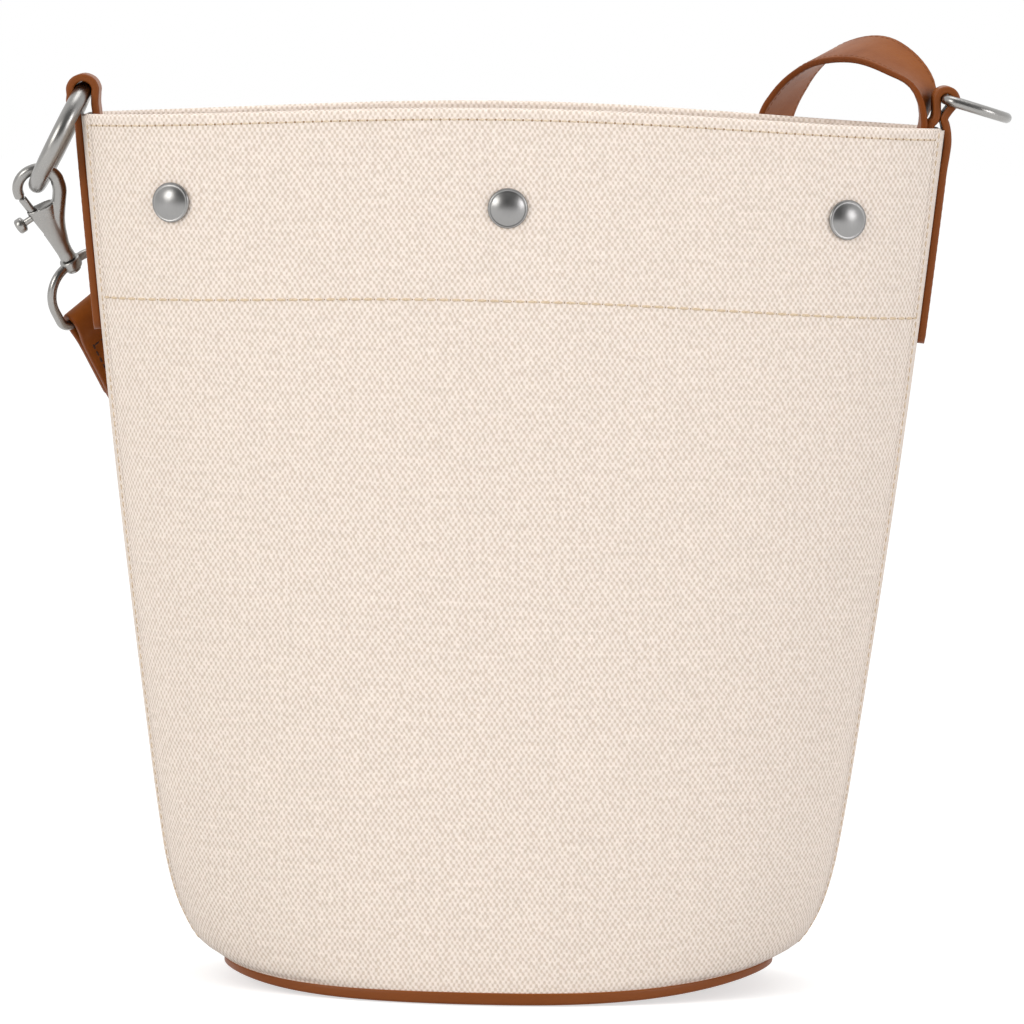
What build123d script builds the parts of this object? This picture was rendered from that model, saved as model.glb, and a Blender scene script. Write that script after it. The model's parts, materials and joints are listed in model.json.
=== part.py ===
"""Canvas bucket bag with leather trim, a shoulder strap and a snap hook.

Millimetres. The origin is the middle of the sole's underside, +Z is up, the
front of the bag faces -Y and its right side faces +X.
"""
from build123d import *
from math import cos, pi, radians, sin
import os

# Bag body
HEIGHT = 332.0             # middle of the rim above the floor
RIM_ARCH = 6.0             # the rim is this much lower at the sides
RIM_WIDTH = 325.0
RIM_DEPTH = 114.0
BASE_WIDTH = 207.0         # at the seam between canvas and sole
BASE_DEPTH = 150.0
SIDE_FLAT = 20.0           # flat strip down each side, under the tabs
TURN_WIDTH = 25.0          # how far the sides swell out above the sole
TURN_DEPTH = -2.0
TURN_HEIGHT = 48.0
BELLY = 3.0                # outward bow of the sides between turn and rim
TURN_LEVELS = 6            # outlines that shape the turn above the sole
WALL_LEVELS = 8            # outlines that shape the wall above it
CANVAS = 2.0               # panel thickness
FACING = 1.2               # hem inside the mouth
FACING_DEPTH = 74.0
LAYER_GAP = 0.2            # between sewn layers
PANEL_GAP = 0.3            # between the front and the back panel at the side seams
SEAM_WIDTH = 7.0
SEAM = 1.2
SEAM_START = 20.0          # lower end of the side seam strips

# Bottom
SOLE = 2.4
SOLE_EDGE = 2.0            # thickness of the turned-up edge
SOLE_RISE = 4.6            # its height
SOLE_PROUD = 1.0           # how far it stands out past the canvas
BOARD = 1.8

# Press studs
CAP_DIAMETER = 15.0
CAP_DOME = 2.0
CAP_EDGE = 0.8
SOCKET_DIAMETER = 12.0
SOCKET = 2.4
STUD_DIAMETER = 12.0
STUD_FLANGE = 1.0
STUD_BALL = 6.0
STUD_BALL_RISE = 2.6
POST_DIAMETER = 3.6
POST_HEAD = 10.0
POST_HEAD_THICKNESS = 1.2
POST_CLEARANCE = 0.2
SNAP_SEAT = 0.5            # gap under the rim of a cap on the curved canvas
SNAP_DROP = 38.0           # below the middle of the rim
SNAP_SPACING = 128.5

# Tabs and rings
LEATHER = 2.5
TAB_WIDTH = 20.0
TAB_DROP = 85.0            # lower end of a tab below the rim's sides
TAB_SEAT = 0.5             # lowest leather of a loop above the rim
LEFT_RING_DIAMETER = 46.4
LEFT_RING_WIRE = 6.6
LEFT_RING_LEAN = 25.5      # degrees out from vertical
LEFT_LOOP_OUT = 0.4        # loop axis inside the rim's end
LEFT_LOOP_RISE = 8.6       # and above it
RING_CLEARANCE = 0.35
RIGHT_RING_WIRE = 4.0
RIGHT_RING_WIDTH = 32.0    # outside, along the bar
RIGHT_RING_REACH = 24.0    # bar axis to the bow's middle line
RIGHT_RING_CORNER = 8.0
RIGHT_RING_DROP = 16.0     # degrees below level
RIGHT_LOOP_OUT = -0.5
RIGHT_LOOP_RISE = 10.8

# Strap
STRAP_WIDTH = 24.0
STRAP_SEWN = 60.0          # length sewn inside the mouth
STRAP_GAP = 1.3            # between the sewn end and the free part
FOLD_LENGTH = 38.0         # doubled end around the hook's eye
STRAP_STEPS = 3            # sections from one station of the route to the next

# Snap hook, in its own plane: u across, w up along the swivel axis
HOOK_WIRE = 4.2
HOOK_RADIUS = 7.8          # middle line of the curved arm
HOOK_CENTRE = (2.2, 33.0)
HOOK_THICKNESS = 6.4
LIP_HEIGHT = 25.4          # top of the hook's body
BOLT_DIAMETER = 3.2
BOLT_CLEARANCE = 0.08
BOLT_LEAN = 10.0           # degrees off the swivel axis
BOLT_TRAVEL = 7.0
BOLT_TIP = (-5.3, 32.0)
BOLT_LENGTH = 17.0
SPRING_LENGTH = 7.4
SPRING_WIRE = 0.4
SPRING_TURNS = 5
KNOB_DIAMETER = 4.6
KNOB_REACH = 8.2           # knob's end from the bolt's axis
KNOB_STEM = 2.0
NECK_DIAMETER = 3.2
NECK_CLEARANCE = 0.08
NECK_HEAD = 5.4
NECK_HEAD_THICKNESS = 1.4
SWIVEL_GAP = 0.3
COLLAR_DIAMETER = 8.0
COLLAR = 4.0
EYE_WIRE = 3.6
EYE_DEPTH = 23.5           # bar axis below the neck
EYE_PLAY = 0.6             # between the strap's edges and the eye, each side
FOLD_CLEARANCE = 0.3

# Where the hook hangs
EYE_BAR = Vector(-157.5, 28.0, 248.5)          # middle of the eye's bar
BAR_LEAN = Vector(0.72, 0.48, 0.45)            # rough direction of the bar
THROAT_SEAT = (2.4, 34.2)                      # ring wire in the hook's plane


def lerp(a, b, t):
    return a + (b - a) * t


def half_sizes(z):
    """Half width and half depth of the canvas's outer face at a height."""
    if z < TURN_HEIGHT:
        t = max(z - SOLE_RISE, 0.0) / (TURN_HEIGHT - SOLE_RISE)
        swell = sin(t * pi / 2) ** 0.7
        return BASE_WIDTH / 2 + TURN_WIDTH * swell, BASE_DEPTH / 2 + TURN_DEPTH * t
    t = (z - TURN_HEIGHT) / (HEIGHT - TURN_HEIGHT)
    width = lerp(BASE_WIDTH / 2 + TURN_WIDTH, RIM_WIDTH / 2, t) + BELLY * sin(pi * t)
    return width, lerp(BASE_DEPTH / 2 + TURN_DEPTH, RIM_DEPTH / 2, t)


def section(z, proud):
    """Closed outline of the bag at a height: flat sides and elliptical quarters."""
    width, depth = half_sizes(z)
    width, depth, flat = width + proud, depth + proud, SIDE_FLAT / 2
    sides = [Line((s * width, -flat), (s * width, flat)) for s in (1, -1)]
    arcs = [
        EllipticalCenterArc((0, -flat if start >= 180 else flat), width, depth - flat, start,
                            arc_size=90)
        for start in (0, 90, 180, 270)
    ]
    return Plane.XY.offset(z) * make_face(Wire(sides + arcs))


def body(proud):
    """Solid inside the bag's outline grown by proud, from the sole's edge past the rim."""
    turn = TURN_HEIGHT - SOLE_RISE
    levels = [SOLE_RISE + turn * (n / TURN_LEVELS) ** 1.5 for n in range(TURN_LEVELS)]
    levels += [lerp(TURN_HEIGHT, HEIGHT + 1, n / WALL_LEVELS) for n in range(WALL_LEVELS + 1)]
    return loft([section(z, proud) for z in levels], ruled=True)


def wall(low, high, outer, inner):
    """Closed wall between two outlines of the bag, cut to two heights."""
    layer = body(outer) - body(inner)
    slab = Pos(0, 0, (low + high) / 2) * Box(3 * RIM_WIDTH, 3 * BASE_DEPTH, high - low)
    return layer & slab


def rim_height(x):
    return HEIGHT - RIM_ARCH * (2 * x / RIM_WIDTH) ** 2


def above_rim():
    """Everything above the arched rim."""
    reach = RIM_WIDTH
    side, top = rim_height(reach), 2 * HEIGHT
    outline = Polyline((reach, side), (reach, top), (-reach, top), (-reach, side))
    arch = ThreePointArc((reach, side), (0, HEIGHT), (-reach, side))
    face = make_face(Wire([*outline.edges(), arch]))
    return extrude(Plane.XZ * face, amount=BASE_DEPTH, both=True)


def half_space(front, gap=PANEL_GAP):
    """Box over the front or the back half of the bag."""
    depth = BASE_DEPTH
    middle = (gap / 2 + depth / 2) * (-1 if front else 1)
    return Pos(0, middle, HEIGHT / 2) * Box(3 * RIM_WIDTH, depth, 3 * HEIGHT)


def side_box(side, width, low, high):
    """Box over one side of the bag, as wide as a strip sewn there."""
    reach = RIM_WIDTH
    return Pos(side * reach / 2, 0, (low + high) / 2) * Box(reach, width, high - low)


# Press studs: one axis level and square to the canvas through each front and back pair
def snap_planes(front):
    """Seats of the three press studs on one side: origin on the canvas's outer face."""
    planes = []
    for x in (-SNAP_SPACING, 0, SNAP_SPACING):
        z = rim_height(x) - SNAP_DROP
        width, depth = half_sizes(z)
        depth -= SIDE_FLAT / 2
        rise = (1 - (x / width) ** 2) ** 0.5
        way = -1 if front else 1
        y = way * (SIDE_FLAT / 2 + depth * rise)
        out = Vector(x / width**2, way * rise / depth, 0).normalized()
        planes.append(Plane(origin=(x, y, z), x_dir=(0, 0, 1), z_dir=out))
    return planes


def post_holes(front):
    radius = POST_DIAMETER / 2 + POST_CLEARANCE
    depth = 6 * (CANVAS + FACING)
    return [plane * Cylinder(radius, depth) for plane in snap_planes(front)]


def stack():
    """Depth from the canvas's outer face to the facing's inner face."""
    return CANVAS + LAYER_GAP + FACING


def panel(front):
    whole = wall(SOLE_RISE, HEIGHT + 1, 0, -CANVAS)
    return (whole & half_space(front)) - above_rim() - post_holes(front)


def facing(front):
    outer = -CANVAS - LAYER_GAP
    whole = wall(HEIGHT - FACING_DEPTH, HEIGHT + 1, outer, outer - FACING)
    return (whole & half_space(front)) - above_rim() - post_holes(front)


def side_seam(side):
    strip = wall(SEAM_START, HEIGHT + 1, LAYER_GAP + SEAM, LAYER_GAP)
    return (strip & side_box(side, SEAM_WIDTH, 0, 2 * HEIGHT)) - above_rim()


def sole():
    tray = extrude(section(0, SOLE_PROUD), amount=SOLE_RISE)
    room = extrude(section(0, SOLE_PROUD - SOLE_EDGE), amount=SOLE_RISE)
    return tray - Pos(0, 0, SOLE) * room


def base_board():
    shape = extrude(section(0, SOLE_PROUD - SOLE_EDGE - 2 * LAYER_GAP), amount=BOARD)
    return Pos(0, 0, SOLE + LAYER_GAP) * shape


def dome(radius, rise):
    """Shallow domed cap standing on z = 0."""
    ball = (radius**2 + rise**2) / (2 * rise)
    cap = Pos(0, 0, rise - ball) * Sphere(ball)
    return cap & (Pos(0, 0, rise) * Box(3 * radius, 3 * radius, 2 * rise))


def snap_cap():
    disc = Pos(0, 0, SNAP_SEAT + CAP_EDGE / 2) * Cylinder(CAP_DIAMETER / 2, CAP_EDGE)
    top = Pos(0, 0, SNAP_SEAT + CAP_EDGE) * dome(CAP_DIAMETER / 2 - 0.6, CAP_DOME)
    length = stack() + SNAP_SEAT + SOCKET + 0.5 * CAP_EDGE
    stem = Pos(0, 0, SNAP_SEAT - length / 2) * Cylinder(POST_DIAMETER / 2, length + CAP_EDGE)
    return disc + top + stem


def snap_socket():
    low = -stack() - SNAP_SEAT - SOCKET
    ring = Pos(0, 0, low + SOCKET / 2) * Cylinder(SOCKET_DIAMETER / 2, SOCKET)
    hole = Pos(0, 0, low + SOCKET / 2) * Cylinder(POST_DIAMETER / 2 + POST_CLEARANCE, 2 * SOCKET)
    return ring - hole


def snap_stud():
    top = -stack() - SNAP_SEAT
    flange = Pos(0, 0, top - STUD_FLANGE / 2) * Cylinder(STUD_DIAMETER / 2, STUD_FLANGE)
    rise = STUD_FLANGE + STUD_BALL_RISE
    ball = Pos(0, 0, top - rise / 2) * Cylinder(STUD_BALL / 2, rise)
    hole = Pos(0, 0, top - rise / 2) * Cylinder(POST_DIAMETER / 2 + POST_CLEARANCE, 2 * rise)
    return flange + ball - hole


def snap_post():
    head = Pos(0, 0, SNAP_SEAT) * dome(POST_HEAD / 2, POST_HEAD_THICKNESS)
    length = stack() + 2 * SNAP_SEAT + STUD_FLANGE + STUD_BALL_RISE
    stem = Pos(0, 0, SNAP_SEAT - length / 2 + 0.3) * Cylinder(POST_DIAMETER / 2, length + 0.6)
    return head + stem


def at_snaps(shape, front):
    return Compound([plane * shape for plane in snap_planes(front)])


# Tabs with their ring loops, and the rings
def side_rim():
    """Height of the rim at its two ends."""
    return rim_height(RIM_WIDTH / 2)


TAB_OUTER = 2 * LAYER_GAP + SEAM
TAB_INNER = -CANVAS - FACING - 2 * LAYER_GAP


def left_loop():
    return Vector(-RIM_WIDTH / 2 + LEFT_LOOP_OUT, 0, side_rim() + LEFT_LOOP_RISE)


def right_loop():
    return Vector(RIM_WIDTH / 2 - RIGHT_LOOP_OUT, 0, side_rim() + RIGHT_LOOP_RISE)


def ring_lean():
    """Way from the left loop to the bottom of the left ring."""
    return Vector(-sin(radians(LEFT_RING_LEAN)), 0, -cos(radians(LEFT_RING_LEAN)))


def ring_sag():
    """How much the round ring's wire curves down over half the loop's width."""
    radius = (LEFT_RING_DIAMETER - LEFT_RING_WIRE) / 2
    level = (radius**2 - (TAB_WIDTH / 2) ** 2) ** 0.5
    return radius - level + LEFT_RING_WIRE / 2 * (radius / level - 1)


def bar_along(plane, start, end, radius):
    """Flat slot outline around two points of a vertical plane."""
    run = end - start
    angle = 0.0 if run.length < 1e-6 else -Vector(1, 0, 0).get_signed_angle(run, Vector(0, 1, 0))
    middle = (start + end) * 0.5
    if run.length < 1e-6:
        return plane * Pos(middle.X, middle.Z) * Circle(radius)
    shape = SlotCenterToCenter(run.length, 2 * radius)
    return plane * Pos(middle.X, middle.Z) * Rot(0, 0, angle) * shape


def tab(side, start, end, radius):
    """Leather strip sewn outside and inside a side seam, looped over a ring above the rim."""
    plane = Plane(origin=(0, 0, 0), x_dir=(1, 0, 0), z_dir=(0, -1, 0))
    width = half_sizes(side_rim())[0]
    low = side_rim() + TAB_SEAT
    legs = [side * (width + TAB_OUTER + LEATHER), side * (width + TAB_INNER - LEATHER)]
    middle = start.X
    waist = low + 0.35 * (start.Z - low)
    half = radius + LEATHER
    neck = Polyline(
        (legs[0], low), (middle + side * half, waist), (middle + side * half, start.Z),
        (middle - side * half, start.Z), (middle - side * half, waist), (legs[1], low), close=True
    )
    profile = plane * make_face(Wire(neck.edges()))
    profile = profile + bar_along(plane, start, end, half)
    loop = extrude(profile, amount=TAB_WIDTH / 2, both=True)
    loop = loop - Pos(middle, 0, low - half) * Box(8 * half, 2 * TAB_WIDTH, 2 * half)
    hole = extrude(bar_along(plane, start, end, radius), amount=TAB_WIDTH, both=True)
    bottom = side_rim() - TAB_DROP
    outer = wall(bottom, low + 1, TAB_OUTER + LEATHER, TAB_OUTER)
    inner = wall(bottom, low + 1, TAB_INNER, TAB_INNER - LEATHER)
    strip = (outer + inner) & side_box(side, TAB_WIDTH, bottom - 1, low + 0.6)
    return loop + strip - hole


def left_tab():
    top = left_loop()
    radius = LEFT_RING_WIRE / 2 + RING_CLEARANCE
    return tab(-1, top, top + ring_lean() * ring_sag(), radius)


def right_tab():
    top = right_loop()
    return tab(1, top, top, RIGHT_RING_WIRE / 2 + RING_CLEARANCE)


def left_ring_centre():
    return left_loop() + ring_lean() * ((LEFT_RING_DIAMETER - LEFT_RING_WIRE) / 2)


def left_ring():
    normal = Vector(0, 1, 0).cross(ring_lean())
    plane = Plane(origin=left_ring_centre(), x_dir=(0, 1, 0), z_dir=normal)
    return plane * Torus((LEFT_RING_DIAMETER - LEFT_RING_WIRE) / 2, LEFT_RING_WIRE / 2)


def mirrored_loop(points, radii, thickness):
    """Closed wire, round in section: an open path in the XY plane and its mirror about X."""
    half = FilletPolyline(*points, radius=radii)
    path = Wire([*half.edges(), *mirror(half, about=Plane.XZ).edges()])
    profile = Plane(origin=half @ 0, z_dir=half % 0) * Circle(thickness / 2)
    return sweep(profile, path=path)


def right_ring():
    half = (RIGHT_RING_WIDTH - RIGHT_RING_WIRE) / 2
    reach = RIGHT_RING_REACH
    points = [(0, 0), (0, half), (reach, half), (reach, 0)]
    ring = mirrored_loop(points, [RIGHT_RING_CORNER / 2, half - 1], RIGHT_RING_WIRE)
    drop = radians(RIGHT_RING_DROP)
    out = Vector(cos(drop), 0, -sin(drop))
    return Plane(origin=right_loop(), x_dir=out, z_dir=Vector(out).cross(Vector(0, 1, 0))) * ring


# Hook
def hook_frame_axes():
    """Unit vectors of the hook: across, along its axis, and square to its plane."""
    throat = left_loop() + ring_lean() * (LEFT_RING_DIAMETER - LEFT_RING_WIRE)
    along = (throat - EYE_BAR).normalized()
    square = (Vector(0, 1, 0) - along * along.Y).normalized()
    across = along.cross(square) * -1
    if across.X < 0:
        across = across * -1
    seat_u, seat_w = THROAT_SEAT[0], THROAT_SEAT[1] + EYE_DEPTH
    length = (seat_u**2 + seat_w**2) ** 0.5
    c, s = seat_w / length, seat_u / length
    up = along * c - across * s
    right = across * c + along * s
    return right, up, right.cross(up), throat


def hook_plane():
    """Plane of the hook: its X runs across, its Y up along the swivel axis."""
    right, up, square, throat = hook_frame_axes()
    origin = throat - right * THROAT_SEAT[0] - up * THROAT_SEAT[1]
    return Plane(origin=origin, x_dir=right, z_dir=square)


def bolt_way():
    lean = radians(BOLT_LEAN)
    return Vector(-sin(lean), cos(lean), 0)


def bolt_plane(depth):
    """Plane square to the bolt, depth below its tip."""
    tip = Vector(BOLT_TIP[0], BOLT_TIP[1], 0)
    return Plane(origin=tip - bolt_way() * depth, x_dir=(0, 0, 1), z_dir=bolt_way() * -1)


def rod(plane, radius, length):
    return extrude(plane * Circle(radius), amount=length)


def hook_frame():
    u, w = HOOK_CENTRE
    r = HOOK_RADIUS
    nose = radians(184)
    path = Wire([
        Spline((2.6, LIP_HEIGHT - 9), (5.4, LIP_HEIGHT - 2), (u + r, w),
               tangents=[(0.15, 1), (0, 1)]),
        ThreePointArc((u + r, w), (u, w + r), (u + r * cos(nose), w + r * sin(nose))),
    ])
    profile = Plane(origin=path @ 0, z_dir=path % 0) * Circle(HOOK_WIRE / 2)
    arm = sweep(profile, path=path)
    outline = Polyline(
        (-6.4, LIP_HEIGHT), (5.0, LIP_HEIGHT), (5.0, LIP_HEIGHT - 8), (3.4, 8), (2.9, 0),
        (-2.9, 0), (-4.2, 8), (-6.2, LIP_HEIGHT - 5), close=True
    )
    block = extrude(make_face(Wire(outline.edges())), amount=HOOK_THICKNESS / 2, both=True)
    neck = NECK_DIAMETER / 2
    length = COLLAR + 2 * SWIVEL_GAP + NECK_HEAD_THICKNESS
    pin = Pos(0, -length / 2 + 0.5, 0) * Rot(90, 0, 0) * Cylinder(neck, length + 1)
    head_top = -COLLAR - 2 * SWIVEL_GAP
    head = Rot(90, 0, 0) * Cylinder(NECK_HEAD / 2, NECK_HEAD_THICKNESS)
    head = Pos(0, head_top - NECK_HEAD_THICKNESS / 2, 0) * head
    bore_start = BOLT_TIP[1] - LIP_HEIGHT - 2.5
    bore = rod(bolt_plane(bore_start), BOLT_DIAMETER / 2 + BOLT_CLEARANCE,
               BOLT_LENGTH + SPRING_LENGTH - bore_start)
    slot_width = KNOB_STEM + 0.4
    knob = knob_depth()
    slot = rod_slot(knob - slot_width / 2, BOLT_TRAVEL + slot_width, slot_width)
    shape = arm + block + pin + head - bore - slot
    return shape


def knob_depth():
    """Depth of the thumb knob's stem below the bolt's tip."""
    return BOLT_TIP[1] - LIP_HEIGHT + 3.2


def rod_slot(start, length, width):
    """Slot from the bolt's bore out through the hook's open side."""
    plane = bolt_plane(start)
    reach = 12.0
    box = Pos(0, -reach / 2, length / 2) * Box(width, reach, length)
    flip = Pos(0, reach / 2, length / 2) * Box(width, reach, length)
    one, other = plane.location * box, plane.location * flip
    return one if one.center().X < other.center().X else other


def hook_bolt():
    pin = rod(bolt_plane(0), BOLT_DIAMETER / 2, BOLT_LENGTH)
    way = bolt_way()
    side = Vector(-way.Y, way.X, 0)
    if side.X > 0:
        side = side * -1
    base = Vector(BOLT_TIP[0], BOLT_TIP[1], 0) - way * knob_depth()
    stem_plane = Plane(origin=base, x_dir=(0, 0, 1), z_dir=side)
    stem = extrude(stem_plane * Circle(KNOB_STEM / 2), amount=KNOB_REACH - 1)
    knob_plane = Plane(origin=base + side * (KNOB_REACH - 2.6), x_dir=(0, 0, 1), z_dir=side)
    knob = extrude(knob_plane * Circle(KNOB_DIAMETER / 2), amount=2.6)
    return pin + stem + fillet(knob.edges(), 0.6)


def bolt_spring():
    mean = BOLT_DIAMETER / 2 - SPRING_WIRE
    length = SPRING_LENGTH - 2 * SPRING_WIRE
    helix = Helix(length / SPRING_TURNS, length, mean)
    profile = Plane(origin=helix @ 0, z_dir=helix % 0) * Circle(SPRING_WIRE / 2)
    coil = sweep(profile, path=helix, is_frenet=True)
    plane = bolt_plane(BOLT_LENGTH + SPRING_WIRE)
    return plane.location * coil


# Eye and the strap's folded end
def bar_axis():
    """Unit vector along the eye's bar, square to the swivel axis, towards the back."""
    up = hook_frame_axes()[1]
    return (BAR_LEAN - up * BAR_LEAN.dot(up)).normalized()


def eye_plane():
    """Plane of the eye: its X runs along the bar, its Y up along the swivel axis."""
    up = hook_frame_axes()[1]
    origin = hook_plane().origin
    return Plane(origin=origin, x_dir=bar_axis(), z_dir=bar_axis().cross(up))


def swivel_eye():
    half = STRAP_WIDTH / 2 + EYE_PLAY + EYE_WIRE / 2
    top = -SWIVEL_GAP - COLLAR / 2
    points = [(top, 0), (top - 1.0, half), (-EYE_DEPTH, half), (-EYE_DEPTH, 0)]
    loop = Rot(0, 0, 90) * mirrored_loop(points, [8.0, 3.0], EYE_WIRE)
    collar = Pos(0, top, 0) * Rot(90, 0, 0) * Cylinder(COLLAR_DIAMETER / 2, COLLAR)
    bore = Pos(0, top, 0) * Rot(90, 0, 0) * Cylinder(NECK_DIAMETER / 2 + NECK_CLEARANCE, 3 * COLLAR)
    return loop + collar - bore


def bar_middle():
    plane = eye_plane()
    return plane.origin - hook_frame_axes()[1] * EYE_DEPTH


def fold_plane():
    """Plane square to the bar: its X is the strap's face normal, its Y points up the strap."""
    up = hook_frame_axes()[1]
    return Plane(origin=bar_middle(), x_dir=up.cross(bar_axis()), z_dir=bar_axis())


def strap_fold():
    """Strap's end doubled around the eye's bar."""
    inner = EYE_WIRE / 2 + FOLD_CLEARANCE
    outer = inner + LEATHER
    taper = 3.0 * inner
    up = fold_plane().y_dir.dot(hook_frame_axes()[1])
    down = -1 if up > 0 else 1
    outline = Polyline(
        (-outer, 0), (-LEATHER, down * taper), (-LEATHER, down * FOLD_LENGTH),
        (LEATHER, down * FOLD_LENGTH), (LEATHER, down * taper), (outer, 0), close=True
    )
    profile = make_face(Wire(outline.edges())) + Circle(outer) - Circle(inner)
    return extrude(fold_plane() * profile, amount=STRAP_WIDTH / 2, both=True)


# Strap: stations of its middle line, each with the way across it
def anchor_line():
    """Middle of the strap where it leaves the stitching at the right side of the mouth."""
    width = half_sizes(side_rim())[0]
    return Vector(width + TAB_INNER - LEATHER - LAYER_GAP - LEATHER / 2, 0, side_rim() + 2.6)


def route():
    """Stations (middle, across) from the right side of the mouth round behind to the hook."""
    start = anchor_line()
    end = bar_middle() - hook_frame_axes()[1] * FOLD_LENGTH
    across = bar_axis()
    rim, half, back = side_rim(), RIM_WIDTH / 2, RIM_DEPTH / 2
    base = BASE_DEPTH / 2
    stations = [
        (start, (0.0, 1, 0.0)),
        (Vector(half - 9.4, 5, rim + 14.5), (0.30, 1, 0.16)),
        (Vector(half - 16.5, 14, rim + 23), (0.42, 1, 0.32)),
        (Vector(half - 26, 25, rim + 28), (0.52, 1, 0.40)),
        (Vector(half - 36, 38, rim + 28), (0.55, 1, 0.36)),
        (Vector(half - 46, 51, rim + 23.5), (0.52, 1, 0.22)),
        (Vector(half - 55.5, back + 6, rim + 13), (0.60, 1, 0.10)),
        (Vector(half - 62, back + 17, rim - 3), (0.62, 1, 0.0)),
        (Vector(half - 69, back + 26, rim - 40), (0.50, 1, 0.0)),
        (Vector(half - 80, base + 16, 0.66 * rim), (0.30, 1, 0.0)),
        (Vector(half - 103, base + 17, 0.47 * rim), (0.14, 1, 0.0)),
        (Vector(10, base + 18, 0.36 * rim), (0.0, 1, 0.0)),
        (Vector(-42, base + 15, 0.37 * rim), (0.05, 1, 0.0)),
        (Vector(-90, base + 5, 0.45 * rim), (0.22, 1, 0.08)),
        (Vector(-122, base - 16, 0.55 * rim), (0.50, 1, 0.22)),
        (end, tuple(across)),
    ]
    return [(middle, Vector(*way).normalized()) for middle, way in stations]


def curve(points, i, t):
    """Catmull-Rom point between points i and i + 1, with mirrored ends."""
    a = points[i - 1] if i else points[0] * 2 - points[1]
    b, c = points[i], points[i + 1]
    d = points[i + 2] if i + 2 < len(points) else points[-1] * 2 - points[-2]
    line = (c - a) * t + (a * 2 - b * 5 + c * 4 - d) * t**2 + (b * 3 - a - c * 3 + d) * t**3
    return b + line * 0.5


def strap_sections():
    stations = route()
    middles = [middle for middle, way in stations]
    ways = [way for middle, way in stations]
    steps = [(i, n / STRAP_STEPS) for i in range(len(stations) - 1) for n in range(STRAP_STEPS)]
    steps.append((len(stations) - 2, 1.0))
    sections = []
    for i, t in steps:
        middle = curve(middles, i, t)
        ahead, behind = curve(middles, i, min(t + 0.02, 1)), curve(middles, i, max(t - 0.02, 0))
        along = (ahead - behind).normalized()
        if (i, t) == steps[0]:
            along = Vector(0, 0, 1)
        if (i, t) == steps[-1]:
            along = hook_frame_axes()[1]
        across = curve(ways, i, t)
        across = (across - along * across.dot(along)).normalized()
        plane = Plane(origin=middle, x_dir=across, z_dir=along)
        sections.append(plane * Rectangle(STRAP_WIDTH, LEATHER))
    return sections


def strap():
    ribbon = loft(strap_sections(), ruled=True)
    return ribbon + strap_fold()


def strap_anchor():
    """Strap's end sewn flat inside the right side of the mouth."""
    outer = TAB_INNER - LEATHER - LAYER_GAP
    top = anchor_line().Z - STRAP_GAP
    strip = wall(side_rim() - STRAP_SEWN, HEIGHT + 1, outer, outer - LEATHER)
    return strip & side_box(1, STRAP_WIDTH, side_rim() - STRAP_SEWN, top)


PARTS = {
    "canvas_front_panel": lambda: panel(True),
    "canvas_back_panel": lambda: panel(False),
    "front_facing": lambda: facing(True),
    "back_facing": lambda: facing(False),
    "left_side_seam": lambda: side_seam(-1),
    "right_side_seam": lambda: side_seam(1),
    "sole": sole,
    "base_board": base_board,
    "snap_caps": lambda: at_snaps(snap_cap(), True),
    "snap_sockets": lambda: at_snaps(snap_socket(), True),
    "snap_studs": lambda: at_snaps(snap_stud(), False),
    "snap_posts": lambda: at_snaps(snap_post(), False),
    "left_tab": left_tab,
    "right_tab": right_tab,
    "left_ring": left_ring,
    "right_ring": right_ring,
    "hook_frame": lambda: hook_plane().location * hook_frame(),
    "hook_bolt": lambda: hook_plane().location * hook_bolt(),
    "bolt_spring": lambda: hook_plane().location * bolt_spring(),
    "swivel_eye": lambda: eye_plane().location * swivel_eye(),
    "strap": strap,
    "strap_anchor": strap_anchor,
}

os.makedirs("parts", exist_ok=True)
for name, make in PARTS.items():
    export_step(make(), f"parts/{name}.step")
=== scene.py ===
"""Canvas bucket bag with a leather sole, ring tabs, press studs and a leather shoulder strap.

Lengths are in millimetres until they become mesh coordinates, which are in metres.
"""

import json
import math

import bpy
from mathutils import Matrix, Vector

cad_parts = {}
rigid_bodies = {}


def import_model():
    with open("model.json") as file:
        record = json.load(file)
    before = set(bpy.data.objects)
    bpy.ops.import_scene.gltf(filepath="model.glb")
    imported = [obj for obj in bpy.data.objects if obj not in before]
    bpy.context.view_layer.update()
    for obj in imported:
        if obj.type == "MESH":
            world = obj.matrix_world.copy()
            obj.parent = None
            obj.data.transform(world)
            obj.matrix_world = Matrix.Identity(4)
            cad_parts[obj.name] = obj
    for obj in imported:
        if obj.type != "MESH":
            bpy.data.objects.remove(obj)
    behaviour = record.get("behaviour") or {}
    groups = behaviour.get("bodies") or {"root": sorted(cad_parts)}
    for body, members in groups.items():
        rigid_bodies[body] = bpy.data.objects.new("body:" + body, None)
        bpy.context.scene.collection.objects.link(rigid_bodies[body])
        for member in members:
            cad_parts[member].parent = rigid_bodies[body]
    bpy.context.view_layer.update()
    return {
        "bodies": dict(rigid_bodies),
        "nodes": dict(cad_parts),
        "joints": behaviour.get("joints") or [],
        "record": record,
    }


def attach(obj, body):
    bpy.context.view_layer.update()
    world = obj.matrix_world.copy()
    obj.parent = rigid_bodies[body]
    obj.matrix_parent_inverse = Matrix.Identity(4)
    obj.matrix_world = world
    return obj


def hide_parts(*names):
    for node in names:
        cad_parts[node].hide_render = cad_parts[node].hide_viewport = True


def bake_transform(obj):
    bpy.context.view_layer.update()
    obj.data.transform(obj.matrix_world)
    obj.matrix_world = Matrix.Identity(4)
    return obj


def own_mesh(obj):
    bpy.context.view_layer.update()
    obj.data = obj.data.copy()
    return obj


MM = 0.001

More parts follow.
